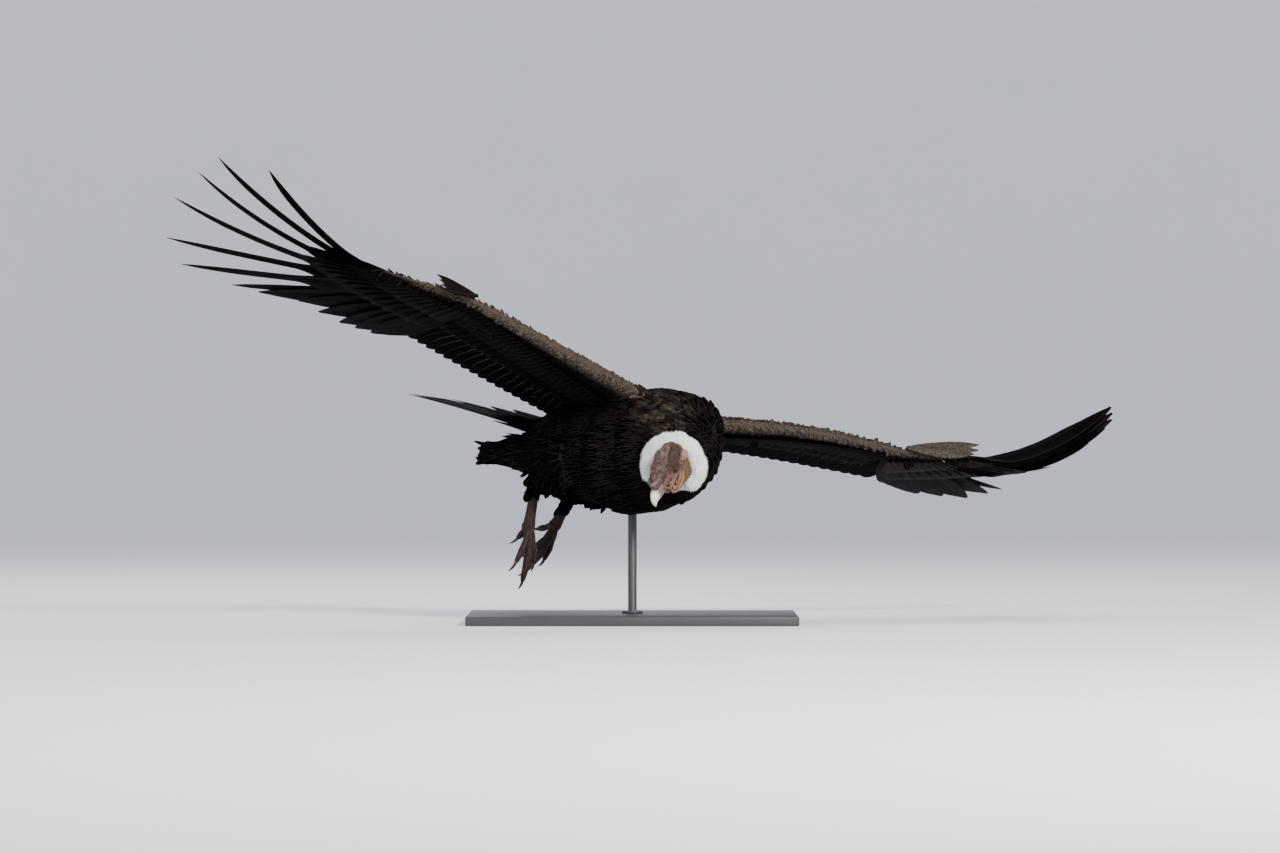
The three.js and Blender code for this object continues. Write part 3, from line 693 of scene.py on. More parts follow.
places = points_of(skin)
zones, at = bare_zones(places)
away = distances(places, ["head", "comb", "wattle", "neck", "foot_right", "foot_left"], 0.03)
head_near = np.minimum.reduce([away[name] for name in BARE_NODES])
foot_near = np.minimum(away["foot_right"], away["foot_left"])
bare = smooth_step(-head_near, -0.007, -0.003)
on_right = away["foot_right"] < away["foot_left"]
leg_end = np.where(on_right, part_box("thigh_right")[0].z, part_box("thigh_left")[0].z)
scaly = smooth_step(-foot_near, -0.006, -0.002) * smooth_step(leg_end + 0.010 - places[:, 2], 0.0, 0.008)
heights = np.where(bare > 0, skin_relief(places, zones, at), 0)
wide, ahead, high = np.abs(at[:, 0]), at[:, 1], at[:, 2]
mottle = soft_noise(at, 1 / 9, 1.3)
yellow = smooth_step(-np.sqrt(((ahead - 27) / 1.7) ** 2 + (high + 31) ** 2), -18, -8) * smooth_step(wide, 18, 28)
PATCHES = [
    ((44, 30, 24), smooth_step(-ahead, -46, 0) * smooth_step(high, 2, 12) * 0.95),
    ((158, 114, 106), zones["cheek"] * 0.85),
    ((158, 124, 46), yellow * (0.7 + 0.3 * pebbles(at, 1 / 3.0)) * 0.9),
    ((168, 122, 118), zones["ear"] * 0.9),
    ((44, 30, 24), zones["lids"] * 0.75),
    ((134, 110, 84), zones["neck"] * 0.9),
]
tint = all_over(128, 96, 84)
for painted, share in PATCHES:
    tint = blended(tint, screen(*painted), share)
comb_tint = blended(all_over(106, 89, 81), screen(134, 108, 103), smooth_step(ahead, 42, 66))
speckles = smooth_step(-pebbles(at, 1 / 4.2), -0.55, 0.05) * smooth_step(soft_noise(at, 1 / 22, 5.0), -0.35, 0.25)
comb_tint = blended(comb_tint, screen(52, 40, 36), speckles * 0.8)
tint = blended(tint, comb_tint, zones["comb"])
# Painted shade: the creases of the relief are darkened.
tint = blended(tint, screen(40, 26, 21), smooth_step(-heights, -0.1, 1.1) * 0.85)
tint = tint * (1 + 0.18 * mottle)[:, None]
print("head tinted with", len(PATCHES), "patches of colour")

# %% Painted shade in the hollows, painted light on the ridges
links = np.empty(len(skin.data.edges) * 2, dtype=int)
skin.data.edges.foreach_get("vertices", links)
one, other = links.reshape(-1, 2).T
even_skin = places
EVENING_ROUNDS = 14
for _ in range(EVENING_ROUNDS):
    even_skin = np.stack([
        np.bincount(one, even_skin[other, axis], len(places)) + np.bincount(other, even_skin[one, axis], len(places))
        for axis in range(3)], axis=1) / np.bincount(links, minlength=len(places))[:, None]
hollow = ((even_skin - places) * normals_of(skin)).sum(axis=1)
# Painted light and shade: the tint stays lighter where the skin stands above an evened copy of itself, and is darkened
# where it lies lower.
tint = tint * (0.56 + 0.34 * smooth_step(-hollow, 0.0, 0.0004))[:, None]
tint = blended(tint, screen(30, 19, 15), smooth_step(hollow, 0.00010, 0.00055) * 0.9)
print("hollows up to", round(float(hollow.max()) * 1000, 1), "mm deep")

# %% Tint the feathered part and the feet
edge_near = np.full(len(places), 9.0)
for arm, hand in WINGS.values():
    for part in (arm, hand):
        along = np.clip((places - part.start) @ part.out / part.length, 0, 1)
        edge_near = np.minimum(edge_near, np.linalg.norm(places - part.edge(along), axis=1))
# Near the leading edges the skin under the coat is a lighter brown, like the edge feathers: partly faded colour and
# partly painted light.
under_coat = blended(all_over(14, 12, 12), screen(62, 55, 50), smooth_step(-edge_near, -0.045, -0.02))
tint = blended(under_coat, tint, bare)
toe_beads = pebbles(seen_from(BIRD, places) * 1000, 1 / 4.0)
foot_tint = blended(all_over(48, 42, 38), screen(26, 22, 20), smooth_step(-toe_beads, -0.5, 0.1))
tint = blended(tint, foot_tint, scaly * (1 - bare))
store(skin, "tint", np.clip(tint, 0.002, 1))
store(skin, "bare", np.maximum(bare, scaly * 0.6))
print("tinted", len(places), "corners,", int((bare > 0.5).sum()), "of them bare")

# %% Skin material
flesh = Recipe("bare_and_feathered_skin")
pores = flesh.cells(900)
veins = flesh.noise(260, 5)
wet = flesh.attribute("bare")
shade = flesh.mix(((veins - 0.5) * 0.7 + 0.3) * wet, flesh.attribute("tint", "Color"), colour(58, 40, 34))
flesh.set(
    Base_Color=shade,
    Roughness=0.95 - wet * 0.43 + (veins - 0.5) * 0.2,
    Normal=flesh.bump(pores * 0.6 + veins, 0.0005),
    Specular_IOR_Level=0.2,
)
settle(skin, flesh.material, BODY_NODES + ["comb", "wattle", "foot_right", "foot_left"])

# %% [markdown]
# ## Bill, eyes and claws
# Horn grows in thin sheaths, so it is smooth, a little waxy and streaked along its length. The bill is
# ivory at its hooked tip and slate at its base. Each solid is copied, remeshed to lose its facets and
# tinted along the head's own axis.

# %% Horn of the bill
BILL_BASE_AT = 0.074
horn = Recipe("bill_horn")
streaks = horn.noise(1.0, 4, horn.node("ShaderNodeMapping", {}, {"Vector": horn.place(), "Scale": (420, 420, 60)}))
horn.set(
    Base_Color=horn.mix((streaks - 0.45) * 0.5 + 0.1, horn.attribute("tint", "Color"), colour(112, 96, 78)),
    Roughness=0.34 + streaks * 0.14,
    Normal=horn.bump(streaks, 0.0002),
    Coat_Roughness=0.2,
    Coat_Weight=0.25,
)
for part in ("bill_upper", "bill_lower"):
    piece = remeshed(copy_of([part], f"{part}_horn"), 0.0008, 9)
    at = seen_from(HEAD, points_of(piece))
    tip = smooth_step(at[:, 1] + 0.35 * at[:, 2], BILL_BASE_AT, BILL_BASE_AT + 0.016)
    store(piece, "tint", blended(np.tile(screen(92, 80, 78), (len(at), 1)), screen(240, 228, 205), tip))
    smooth_shaded(piece)
    settle(piece, horn.material, [part])

# %% Eyes with a brown iris
iris = Recipe("eye_glass")
facing = iris.attribute("facing")
rays = iris.noise(900, 2)
ring = iris.mix(facing.step(0.62, 0.70), colour(18, 10, 8), colour(66, 34, 20))
ring = iris.mix((rays - 0.5) * 1.2 + 0.2, ring, colour(36, 18, 11))
iris.set(
    Base_Color=iris.mix(facing.step(0.84, 0.87), ring, colour(3, 3, 3)),
    Roughness=0.07,
    Coat_Weight=0.2,
    Coat_Roughness=0.08,
)
for side, sign in (("right", 1), ("left", -1)):
    low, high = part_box(f"eye_{side}")
    deselect()
    bpy.ops.mesh.primitive_uv_sphere_add(
        segments=40, ring_count=24, radius=(high.x - low.x) * 0.5, location=(low + high) / 2)
    eye = bpy.context.object
    eye.name = f"eye_{side}_ball"
    bpy.ops.object.transform_apply(location=True)
    smooth_shaded(eye)
    outwards = turned_by(HEAD, [[sign, 0.25, 0.1]])[0]
    store(eye, "facing", unit(points_of(eye) - np.array((low + high) / 2)) @ unit(outwards))
    settle(eye, iris.material, [f"eye_{side}"])

# %% Claws
nail = Recipe("claw_horn")
grain = nail.noise(300, 3)
nail.set(
    Base_Color=nail.mix(grain, colour(22, 19, 18), colour(52, 44, 40)),
    Roughness=0.36 + grain * 0.1,
    Normal=nail.bump(grain, 0.0002),
)
for side in POSES:
    for toe in ("middle", "inner", "outer", "hind"):
        piece = copy_of([f"claw_{side}_{toe}"], f"claw_{side}_{toe}_horn")
        rounder = piece.modifiers.new("rounder", "SUBSURF")
        rounder.levels = 2
        rounder.render_levels = 2
        apply_modifiers(piece)
        smooth_shaded(piece)
        settle(piece, nail.material, [f"claw_{side}_{toe}"])

# %% [markdown]
# ## Feathers
# A feather is one closed blade: a raised shaft, two webs that droop from it, and barbs that slant towards
# the tip. Growing thousands one by one would be slow, so each step works on all feathers of a group at
# once, as arrays with a row for each feather. A blade walks out from its root ring by ring, and at each
# ring its direction bends up or sweeps back a little. Each corner also keeps numbers for the material: run,
# along the blade, reach, out from the shaft, upper, which face it is on, and tone, one chance for each blade.

# %% Outlines of feathers
BROAD = [[0, 0.35], [0.16, 0.96], [0.5, 1], [0.8, 0.92], [0.93, 0.62], [1, 0.14]]
SHORT = [[0, 0.4], [0.3, 0.9], [0.7, 1], [0.9, 0.74], [1, 0.24]]
POINTED = [[0, 0.35], [0.3, 0.9], [0.6, 1], [0.84, 0.62], [1, 0.1]]


def curve_through(table, places):
    """A smooth curve through a table of points, which never overshoots them."""
    x, y = np.array(table, float).T
    slope = np.diff(y) / np.diff(x)
    alike = slope[:-1] * slope[1:] > 0
    middle = np.where(alike, 2 * slope[:-1] * slope[1:] / np.where(alike, slope[:-1] + slope[1:], 1), 0)
    turn = np.concatenate([[slope[0]], middle, [slope[-1]]])
    k = np.clip(np.searchsorted(x, places) - 1, 0, len(slope) - 1)
    h = x[k + 1] - x[k]
    t = (places - x[k]) / h
    rise = y[k] * (1 + 2 * t) * (1 - t) ** 2 + h * turn[k] * t * (1 - t) ** 2
    return rise + y[k + 1] * t * t * (3 - 2 * t) + h * turn[k + 1] * t * t * (t - 1)


# %% Blades grown as arrays
def column(values, count):
    """A value for each feather, from one value or many."""
    return np.broadcast_to(np.asarray(values, float), (count,)).copy()


def blades(root, along, up, side, length, width, lead=0.42, bend=0.0, back=0.0, tilt=0.0, power=1.6,
           outline=BROAD, rings=16, columns=7, camber=0.06, shaft=0.0016, slant=0.3, ragged=0.02,
           thick=0.0005, notches=0, pale=0.0, fade=0.0, place=None, seed=1):
    """A group of feathers, as corners, quads and the numbers that their material reads."""
    random = np.random.default_rng(seed)
    root = np.atleast_2d(root)
    count = len(root)
    side, length, width, lead, bend, back, tilt, power, pale, fade = (
        column(v, count)[:, None] for v in (side, length, width, lead, bend, back, tilt, power, pale, fade))
    bend, back, tilt = np.radians(bend), np.radians(back), np.radians(tilt)
    t = unit(np.broadcast_to(along, (count, 3)))
    n = np.broadcast_to(up, (count, 3))
    n = unit(n - t * np.sum(n * t, axis=1, keepdims=True))
    front = np.cross(n, t) * side
    front, n = front * np.cos(tilt) - n * np.sin(tilt), n * np.cos(tilt) + front * np.sin(tilt)
    stations = np.linspace(0, 1, rings)
    outlines = outline if isinstance(outline[0][0], list) else [outline]
    table = [curve_through(shape, stations) for shape in outlines]
    shares = np.array([table[min(i, len(table) - 1)] for i in range(count)])
    shares = shares * (1 + ragged * random.normal(size=(count, rings)))
    for _ in range(notches):
        hurt, where = random.integers(count), random.integers(int(rings * 0.45), int(rings * 0.9))
        shares[hurt, where] *= 0.55
    at = root.copy()
    points = np.zeros((count, rings, 2 * columns, 3))
    run = np.zeros((count, rings, 2 * columns))
    reach = np.zeros((count, rings, 2 * columns))
    past = 0.0
    for k, u in enumerate(stations):
        if k:
            middle = (past + u) / 2
            turn_up = bend * (middle ** power - max(past * 1.5 - u * 0.5, 0) ** power)
            turn_back = back * (u - past)
            t, n = t * np.cos(turn_up) + n * np.sin(turn_up), n * np.cos(turn_up) - t * np.sin(turn_up)
            cosine, sine = np.cos(turn_back), np.sin(turn_back)
            t, front = t * cosine - front * sine, front * cosine + t * sine
            at = at + t * length * (u - past)
            past = u
        ahead = width[:, 0] * lead[:, 0] * shares[:, k]
        behind = width[:, 0] * (1 - lead[:, 0]) * shares[:, k]
        core = np.minimum(shaft * (1.15 - u), np.minimum(ahead, behind) * 0.4)
        across = np.stack({
            2: [ahead, -behind],
            3: [ahead, 0 * core, -behind],
            5: [ahead, core, 0 * core, -core, -behind],
            7: [ahead, ahead * 0.55, core, 0 * core, -core, -behind * 0.55, -behind],
        }[columns], axis=1)
        droop = -camber * across ** 2 / np.maximum(width, 1e-6) * 4
        if columns > 2:
            droop[:, columns // 2] += 0.8 * core
        skewed = slant * np.abs(across) * (1 - 0.5 * u)
        for top, columns_of in ((1, slice(0, columns)), (-1, slice(2 * columns - 1, columns - 1, -1))):
            high = droop + top * thick / 2 * (1.2 - u)
            points[:, k, columns_of] = (at[:, None] + front[:, None] * across[..., None]
                                        + n[:, None] * high[..., None] + t[:, None] * skewed[..., None])
            run[:, k, columns_of] = u * length + skewed
            reach[:, k, columns_of] = across
    upper = np.zeros((count, rings, 2 * columns))
    upper[:, :, :columns] = 1
    level = np.broadcast_to(stations[None, :, None], upper.shape)
    tone = np.broadcast_to(random.uniform(size=(count, 1, 1)), upper.shape)
    round_blade = np.arange(2 * columns) / (2 * columns) - 0.5
    if place is None:
        strip = (np.arange(count) + 0.5) / count
        bake = np.stack(
            [0.02 + 0.96 * level, strip[:, None, None] + round_blade * 0.9 / count + 0 * level], axis=-1)
    else:
        patch = np.stack([level - 0.5, np.broadcast_to(round_blade, upper.shape)], axis=-1)
        bake = np.asarray(place)[:, None, None, :] + 0.003 * patch
    flip = side[:, 0] < 0
    numbers = {
        "run": run, "reach": reach, "tone": tone, "upper": upper, "level": level,
        "pale": pale[:, :, None] * upper * (1 - smooth_step(level, 0.78, 0.95)),
        "fade": fade[:, :, None] + 0 * level,
    }
    for values in (points, bake, *numbers.values()):
        if values.flags.writeable:
            values[flip] = values[flip][:, :, ::-1]
    ring = 2 * columns
    quads = []
    for k in range(rings - 1):
        for i in range(ring):
            j = (i + 1) % ring
            quads.append((k * ring + i, k * ring + j, (k + 1) * ring + j, (k + 1) * ring + i))
    for j in range(columns - 1):
        last = (rings - 1) * ring
        quads.append((ring - 1 - j, ring - 2 - j, j + 1, j))
        quads.append((last + j, last + j + 1, last + ring - 2 - j, last + ring - 1 - j))
    quads = np.array(quads)[None] + (np.arange(count) * rings * ring)[:, None, None]
    return {
        "points": points.reshape(-1, 3), "quads": quads.reshape(-1, 4), "bake": bake.reshape(-1, 2),
        "numbers": {key: np.ascontiguousarray(value).reshape(-1) for key, value in numbers.items()}, "count": count,
    }


def mesh_from(name, groups):
    """One object from groups of feathers or strands."""
    starts = np.cumsum([0] + [len(g["points"]) for g in groups[:-1]])
    points = np.concatenate([g["points"] for g in groups])
    quads = np.concatenate([g["quads"] + start for g, start in zip(groups, starts)])
    bake = np.concatenate([g["bake"] for g in groups])
    mesh = bpy.data.meshes.new(name)
    mesh.vertices.add(len(points))
    mesh.vertices.foreach_set("co", points.ravel())
    mesh.loops.add(quads.size)
    mesh.loops.foreach_set("vertex_index", quads.ravel())
    mesh.polygons.add(len(quads))
    mesh.polygons.foreach_set("loop_start", np.arange(len(quads)) * 4)
    mesh.polygons.foreach_set("use_smooth", np.ones(len(quads), bool))
    mesh.update(calc_edges=True)
    unwrap = mesh.uv_layers.new(name="OFBake")
    unwrap.data.foreach_set("uv", np.clip(bake, 0, 1)[quads.ravel()].ravel())
    piece = bpy.data.objects.new(name, mesh)
    bpy.context.scene.collection.objects.link(piece)
    for key in groups[0]["numbers"]:
        layer = mesh.attributes.new(key, "FLOAT", "POINT")
        layer.data.foreach_set("value", np.concatenate([g["numbers"][key] for g in groups]))
    return piece


print("feather maths ready")


# %% Feather materials
def feather_recipe(name, spacing, dark, soft, gloss, shine):
    """Feathers whose webs show slanted barbs, with a pale panel or a faded tint, partly painted light, where asked for,
    and a darker underside of painted shade.
    """
    plume = Recipe(name)
    run, reach, tone, level = (plume.attribute(key) for key in ("run", "reach", "tone", "level"))
    slanted = run - abs(reach) * 0.7
    barbs = slanted.maths("SINE", slanted * (2 * math.pi / spacing)) * 0.5 + 0.5
    where = plume.node("ShaderNodeCombineXYZ", {}, {"X": slanted * 260, "Y": reach * 26, "Z": tone * 40})
    streaks = plume.noise(1.0, 4, where)
    shaft = 1 - abs(reach).step(0.0004, 0.0016)
    base = plume.mix((tone - 0.5) * 0.6 + streaks, dark, soft)
    # Painted shade: the underside of every feather is darkened towards black.
    base = plume.mix((1 - plume.attribute("upper")) * 0.75, base, colour(4, 4, 4))
    grit = plume.noise(300, 4)
    # Brown where the faded tint is asked for: partly worn, faded feathers and partly painted light, as on the leading
    # edges.
    worn_and_lit = plume.mix(grit.step(0.3, 0.7), colour(52, 46, 42), colour(118, 107, 97))
    base = plume.mix(plume.attribute("fade") * (grit * 0.9 + 0.35), base, worn_and_lit)
    silver = plume.mix(streaks.step(0.42, 0.75), colour(226, 225, 222), colour(150, 147, 144))
    base = plume.mix(plume.attribute("pale"), base, silver)
    base = plume.mix(shaft * 0.16, base, colour(84, 76, 70))
    base = plume.mix(level.step(0.86, 1.0) * 0.12, base, colour(50, 41, 36))
    plume.set(
        Base_Color=base,
        Roughness=gloss + streaks * 0.22 - shaft * 0.1,
        Normal=plume.bump(barbs * 0.45 + streaks * 0.8, 0.0006),
        Specular_IOR_Level=shine,
    )
    return plume.material


FLIGHT_FINISH = feather_recipe("flight_feathers", 0.0017, colour(6, 5, 6), colour(16, 14, 14), 0.56, 0.02)
COVERT_FINISH = feather_recipe("covert_feathers", 0.0014, colour(6, 5, 5), colour(16, 14, 13), 0.64, 0.01)
BODY_FINISH = feather_recipe("body_feathers", 0.0010, colour(4, 4, 4), colour(12, 10, 10), 0.68, 0.01)
print("three feather finishes")


# %% [markdown]
# ### Wing and tail quills
# Each row is spread along the arm or the hand. Its first and last feather are described, and the rest lie
# evenly between. The fingers at the wing tip bend up and narrow half way, as they do in slow flight.

# %% Rows of quills
def spread(ends, count):
    """Values from the first feather of a row to its last one."""
    return np.linspace(*ends, count) if isinstance(ends, tuple) else column(ends, count)


def row_of(part, count, along, set_back, raised, fan, pitch, length, width, **shape):
    """A row of feathers along an arm or a hand."""
    along, set_back, raised, fan, pitch = (spread(v, count) for v in (along, set_back, raised, fan, pitch))
    fan, pitch = np.radians(fan)[:, None], np.radians(pitch)[:, None]
    root = part.edge(along) + part.rear * (part.chord(along) + set_back)[:, None] + part.up * raised[:, None]
    level = part.out * np.cos(fan) + part.rear * np.sin(fan)
    direction = level * np.cos(pitch) + part.up * np.sin(pitch)
    shape = {key: spread(v, count) if isinstance(v, tuple) else v for key, v in shape.items()}
    return blades(root, direction, part.up, part.side, spread(length, count), spread(width, count), **shape)


PRIMARIES = {
    "right": {
        "length": [0.375, 0.400, 0.430, 0.570, 0.642, 0.653, 0.597, 0.546, 0.492, 0.366],
        "fan": [62, 54, 41, 34.5, 26, 21.5, 6, 2, -12, -26],
        "pitch": [0.5, 0.3, 1.5, 2.5, 0.3, 2.7, -5.8, -3.7, -0.9, 0.6],
        "bend": [6, 5, 3, 1, 3, 4, 23, 32, 28, 28],
        "tilt": [6, 6, 6, 6, 6, 6, 6, 6, 6, 6],
    },
    "left": {
        "length": [0.404, 0.424, 0.452, 0.534, 0.644, 0.673, 0.625, 0.556, 0.515, 0.434],
        "fan": [49, 46.7, 33.4, 28.4, 23.4, 24, 24.7, 23.7, 27.8, 16],
        "pitch": [3.2, 1.3, -1.4, 0.4, -0.8, -7.5, -10.5, -10.7, -10, -6.5],
        "bend": [4, 3, 3, 6, 18, 40, 56, 67, 81, 87],
        "tilt": [6, 6, 6, 8, 15, 30, 40, 48, 55, 62],
    },
}
# The feathers of the row, the inner ones doubled so that they close into one trailing edge
PRIMARY_PLACES = np.array([0, 0.5, 1, 1.5, 2, 2.6, 3, 4, 5, 6, 7, 8, 9])


def finger(place):
    """The outline of a primary: broad near the wrist, and a narrow finger for the outer ones."""
    if place < 2.8:
        return POINTED
    neck = 0.52 - 0.055 * (place - 3)
    broad = [[0, 0.25], [neck * 0.35, 0.85], [neck - 0.1, 1]]
    return broad + [[neck + 0.05, 0.46], [0.75, 0.42], [0.91, 0.27], [1, 0.04]]


def primary_row(name, hand):
    """The primaries of one hand. The left hand's outermost ones stay broad, and lie over each other."""
    row = {key: np.interp(PRIMARY_PLACES, np.arange(10), values) for key, values in PRIMARIES[name].items()}
    share = PRIMARY_PLACES / 9
    outlines = [finger(place) if name == "right" or place < 7 else POINTED for place in PRIMARY_PLACES]
    return row_of(
        hand, len(share), lerp(0.06, 0.96, share), 0.002, 0.0, row["fan"], row["pitch"], row["length"],
        lerp(0.090, 0.064, share), lead=lerp(0.40, 0.28, share), bend=row["bend"], power=0.8, back=5.0,
        tilt=row["tilt"], outline=outlines, rings=44, camber=0.05, shaft=0.0024, slant=0.45, ragged=0.008,
        thick=0.0012, seed=11)


def covert_rows(part, face, rows, seed, tilt=4.0):
    """Overlapping rows of coverts on one face of an arm or a hand, the long ones nearest the quills."""
    groups = []
    for number, (count, set_back, raised, length, width, fan, along, pale, fade) in enumerate(rows):
        groups.append(row_of(
            part, count, along, set_back, tuple(face * v for v in raised), fan, face * 4.0, length, width,
            outline=SHORT, bend=-face * 5.0, tilt=tilt, rings=10, columns=5, camber=0.05, ragged=0.03, thick=0.0007,
            pale=pale if face > 0 else 0.0, fade=fade, seed=seed + number))
    return groups


print(len(PRIMARY_PLACES), "primaries to a hand")

# %% Primaries and the coverts of the hand
# Fingers that lean towards the viewer past the wing's solid are eased back, so the model keeps its size
FRONT_LIMIT = -0.465
FRONT_EASE = 0.045
for name, (arm, hand) in WINGS.items():
    fan_from = POSES[name]["fan_from"]
    # The coverts' brown is partly faded feathers and partly painted light.
    long_fade, short_fade = POSES[name]["hand_fade"]
    hand_rows = [
        (13, 0.006, (0.009, 0.006), (0.150, 0.185), 0.044, (fan_from - 4, 2), (0.06, 0.94), 0.0, long_fade),
        (15, -0.010, (0.014, 0.008), (0.090, 0.080), 0.032, (fan_from - 2, 4), (0.02, 0.90), 0.0, short_fade),
    ]
    quills = [primary_row(name, hand)]
    for face in (1, -1):
        quills += covert_rows(hand, face, hand_rows, 40 + face, 24.0 if name == "left" and face > 0 else 4.0)
    primaries = mesh_from(f"primaries_{name}", quills)
    at = points_of(primaries)
    past = np.maximum(FRONT_LIMIT - at[:, 1], 0)
    at[:, 1] += past - FRONT_EASE * np.tanh(past / FRONT_EASE)
    move_points(primaries, at)
    settle(primaries, FLIGHT_FINISH, [f"wing_{name}_primaries"])

# %% Secondaries, tertials and the coverts of the arm
# Each row: count, set back, height at both ends, length, width, fan, along, pale, and fade, a brown that is partly
# faded feathers and partly painted light
ARM_ROWS = [
    (22, 0.004, (0.011, 0.010), (0.118, 0.138), 0.044, (102, 78), (0.08, 0.95), 0.7, 0.02),
    (26, -0.008, (0.017, 0.013), (0.074, 0.070), 0.034, (101, 80), (0.06, 0.96), 0.0, 0.05),
    (30, -0.022, (0.022, 0.015), (0.056, 0.048), 0.027, (100, 82), (0.04, 0.97), 0.0, 0.05),
    (34, -0.040, (0.028, 0.017), (0.050, 0.040), 0.024, (98, 82), (0.03, 0.98), 0.0, 0.05),
]
LINING = (36, -0.062, (0.030, 0.016), (0.052, 0.044), 0.026, (96, 82), (0.03, 0.98), 0.0, 0.03)
for name, (arm, hand) in WINGS.items():
    quills = [
        row_of(
            arm, 26, (0.09, 1.02), 0.002, 0.0, (104, 66), 0.0, (0.234, 0.300), (0.062, 0.060), lead=0.40,
            bend=-10.0, back=5.0, tilt=5.0, rings=20, camber=0.04, shaft=0.0018, ragged=0.012, thick=0.001,
            notches=5, pale=0.85, seed=21),
        row_of(
            arm, 5, (-0.08, 0.06), 0.002, 0.0, (112, 106), 0.0, (0.218, 0.236), 0.062, lead=0.42,
            bend=-10.0, back=5.0, tilt=4.0, rings=16, camber=0.05, ragged=0.02, thick=0.001, pale=0.4, seed=22),
    ]
    for face in (1, -1):
        quills += covert_rows(arm, face, ARM_ROWS + [LINING] * (face < 0), 60 + face)
    secondaries = mesh_from(f"secondaries_{name}", quills)
    settle(secondaries, COVERT_FINISH, [f"wing_{name}_secondaries"])

# %% Thumb feathers
for name, (arm, hand) in WINGS.items():
    pose = POSES[name]
    thumb = hand.edge(pose["alula_at"]) + hand.rear * 0.004 + hand.up * 0.006
    order = np.arange(4)
    rise = np.array(pose["alula_rise"])[:, None]
    direction = hand.out + hand.up * rise + hand.rear * (0.02 - 0.03 * order)[:, None]
    # The thumb feathers' brown is partly faded feathers and partly painted light, strongest on the left.
    alula = mesh_from(f"alula_{name}", [blades(
        thumb - hand.rear * (0.0025 * order)[:, None], direction, hand.up, hand.side, pose["alula_length"],
        pose["alula_width"], lead=0.42, bend=8.0, tilt=74.0, outline=POINTED, rings=14, camber=0.05,
        thick=0.001, fade=pose["alula_fade"], seed=31)])
    settle(alula, COVERT_FINISH, [f"wing_{name}_alula"])

# %% Tail quills
def tail_feathers(root, heading, face, side, length, width, **shape):
    """Feathers given in the tail's own frame."""
    return blades(
        put_from(TAIL, root), turned_by(TAIL, heading), turned_by(TAIL, [[0, 0, face]]), side, length, width, **shape)


quills = []
for side in (1, -1):
    share = (np.arange(6) + 0.5) / 6
    deep = np.array([0 if side > 0 else 1, 2, 3, 4, 5, 6])
    fan = np.radians(33) * share
    root = np.stack([side * 0.042 * share, np.full(6, 0.026), -0.0021 * deep], axis=1)
    heading = np.stack([side * np.sin(fan), -np.cos(fan), 0 * fan], axis=1)
    quills.append(tail_feathers(
        root, heading, 1, side, 0.376 - 0.014 * share, 0.066, bend=-6.0, rings=26, camber=0.05, shaft=0.0022,
        ragged=0.012, thick=0.0024, notches=1, fade=0.02, seed=71 + side))
for face, count, length in ((1, 12, 0.150), (-1, 12, 0.130), (1, 10, 0.085)):
    share = np.linspace(-0.5, 0.5, count)
    fan = np.radians(46) * share
    high = 0.006 + 0.012 * (length < 0.1) if face > 0 else -0.022
    root = np.stack([0.066 * share, np.full(count, 0.020), np.full(count, high)], axis=1)
    heading = np.stack([np.sin(fan), -np.cos(fan), np.full(count, face * 0.02)], axis=1)
    quills.append(tail_feathers(
        root, heading, face, 1, length, 0.050, lead=0.5, outline=SHORT, rings=12, columns=5, camber=0.08,
        ragged=0.03, thick=0.0022, seed=80 + count))
tail = mesh_from("tail_quills", quills)
settle(tail, FLIGHT_FINISH, ["tail"])

# %% [markdown]
# ### Small body feathers
# Body feathers are sown over the feathered skin, about one to each cell of a fine grid, so they are even
# but never in lines. Each lies towards the tail, or out and back on the wing, lifts a little from the
# skin and curls down again, so it covers the roots of the next ones.

# %% Sowing and laying the coat
def triangles_of(piece):
    """The corners of each triangle of a mesh."""
    piece.data.calc_loop_triangles()
    found = np.zeros(len(piece.data.loop_triangles) * 3, int)
    piece.data.loop_triangles.foreach_get("vertices", found)
    return found.reshape(-1, 3)


def sown(places, normals, triangles, cell, seed):
    """Roots scattered over triangles, one for each cell of a grid, with their normals."""
    random = np.random.default_rng(seed)
    a, b, c = (places[triangles[:, i]] for i in range(3))
    area = np.linalg.norm(np.cross(b - a, c - a), axis=1) / 2
    tries = int(area.sum() / cell ** 2 * 8)
    chosen = triangles[random.choice(len(triangles), tries, p=area / area.sum())]
    first, second = np.sqrt(random.uniform(size=(tries, 1))), random.uniform(size=(tries, 1))
    weights = (1 - first, first * (1 - second), first * second)
    at = sum(places[chosen[:, i]] * weights[i] for i in range(3))
    facing = unit(sum(normals[chosen[:, i]] * weights[i] for i in range(3)))
    _, kept = np.unique(np.floor(at / cell).astype(int), axis=0, return_index=True)
    kept = np.sort(kept)
    return at[kept], facing[kept]


def laid(facing, lie, lift, wander, random):
    """Directions along the skin that follow the lie of the coat, raised a little and a little uneven."""
    lie = unit(unit(lie) + wander * random.normal(size=facing.shape))
    outward = np.sum(lie * facing, axis=1, keepdims=True)
    flat = unit(lie - facing * outward * (1 - smooth_step(outward, 0.3, 0.8)))
    lift = np.radians(lift)
    return flat * np.cos(lift) + facing * np.sin(lift)


def around(places, start, axis, first_side, length):
    """Where places lie on an unwrap: turned about an axis, and along it."""
    first_side = unit(first_side - axis * np.dot(first_side, axis))
    other = np.cross(axis, first_side)
    off = places - start
    angle = np.arctan2(off @ other, off @ first_side) / (2 * np.pi) + 0.5
    return np.stack([0.02 + 0.96 * angle, np.clip(0.02 + 0.96 * (off @ axis) / length, 0, 1)], axis=1)


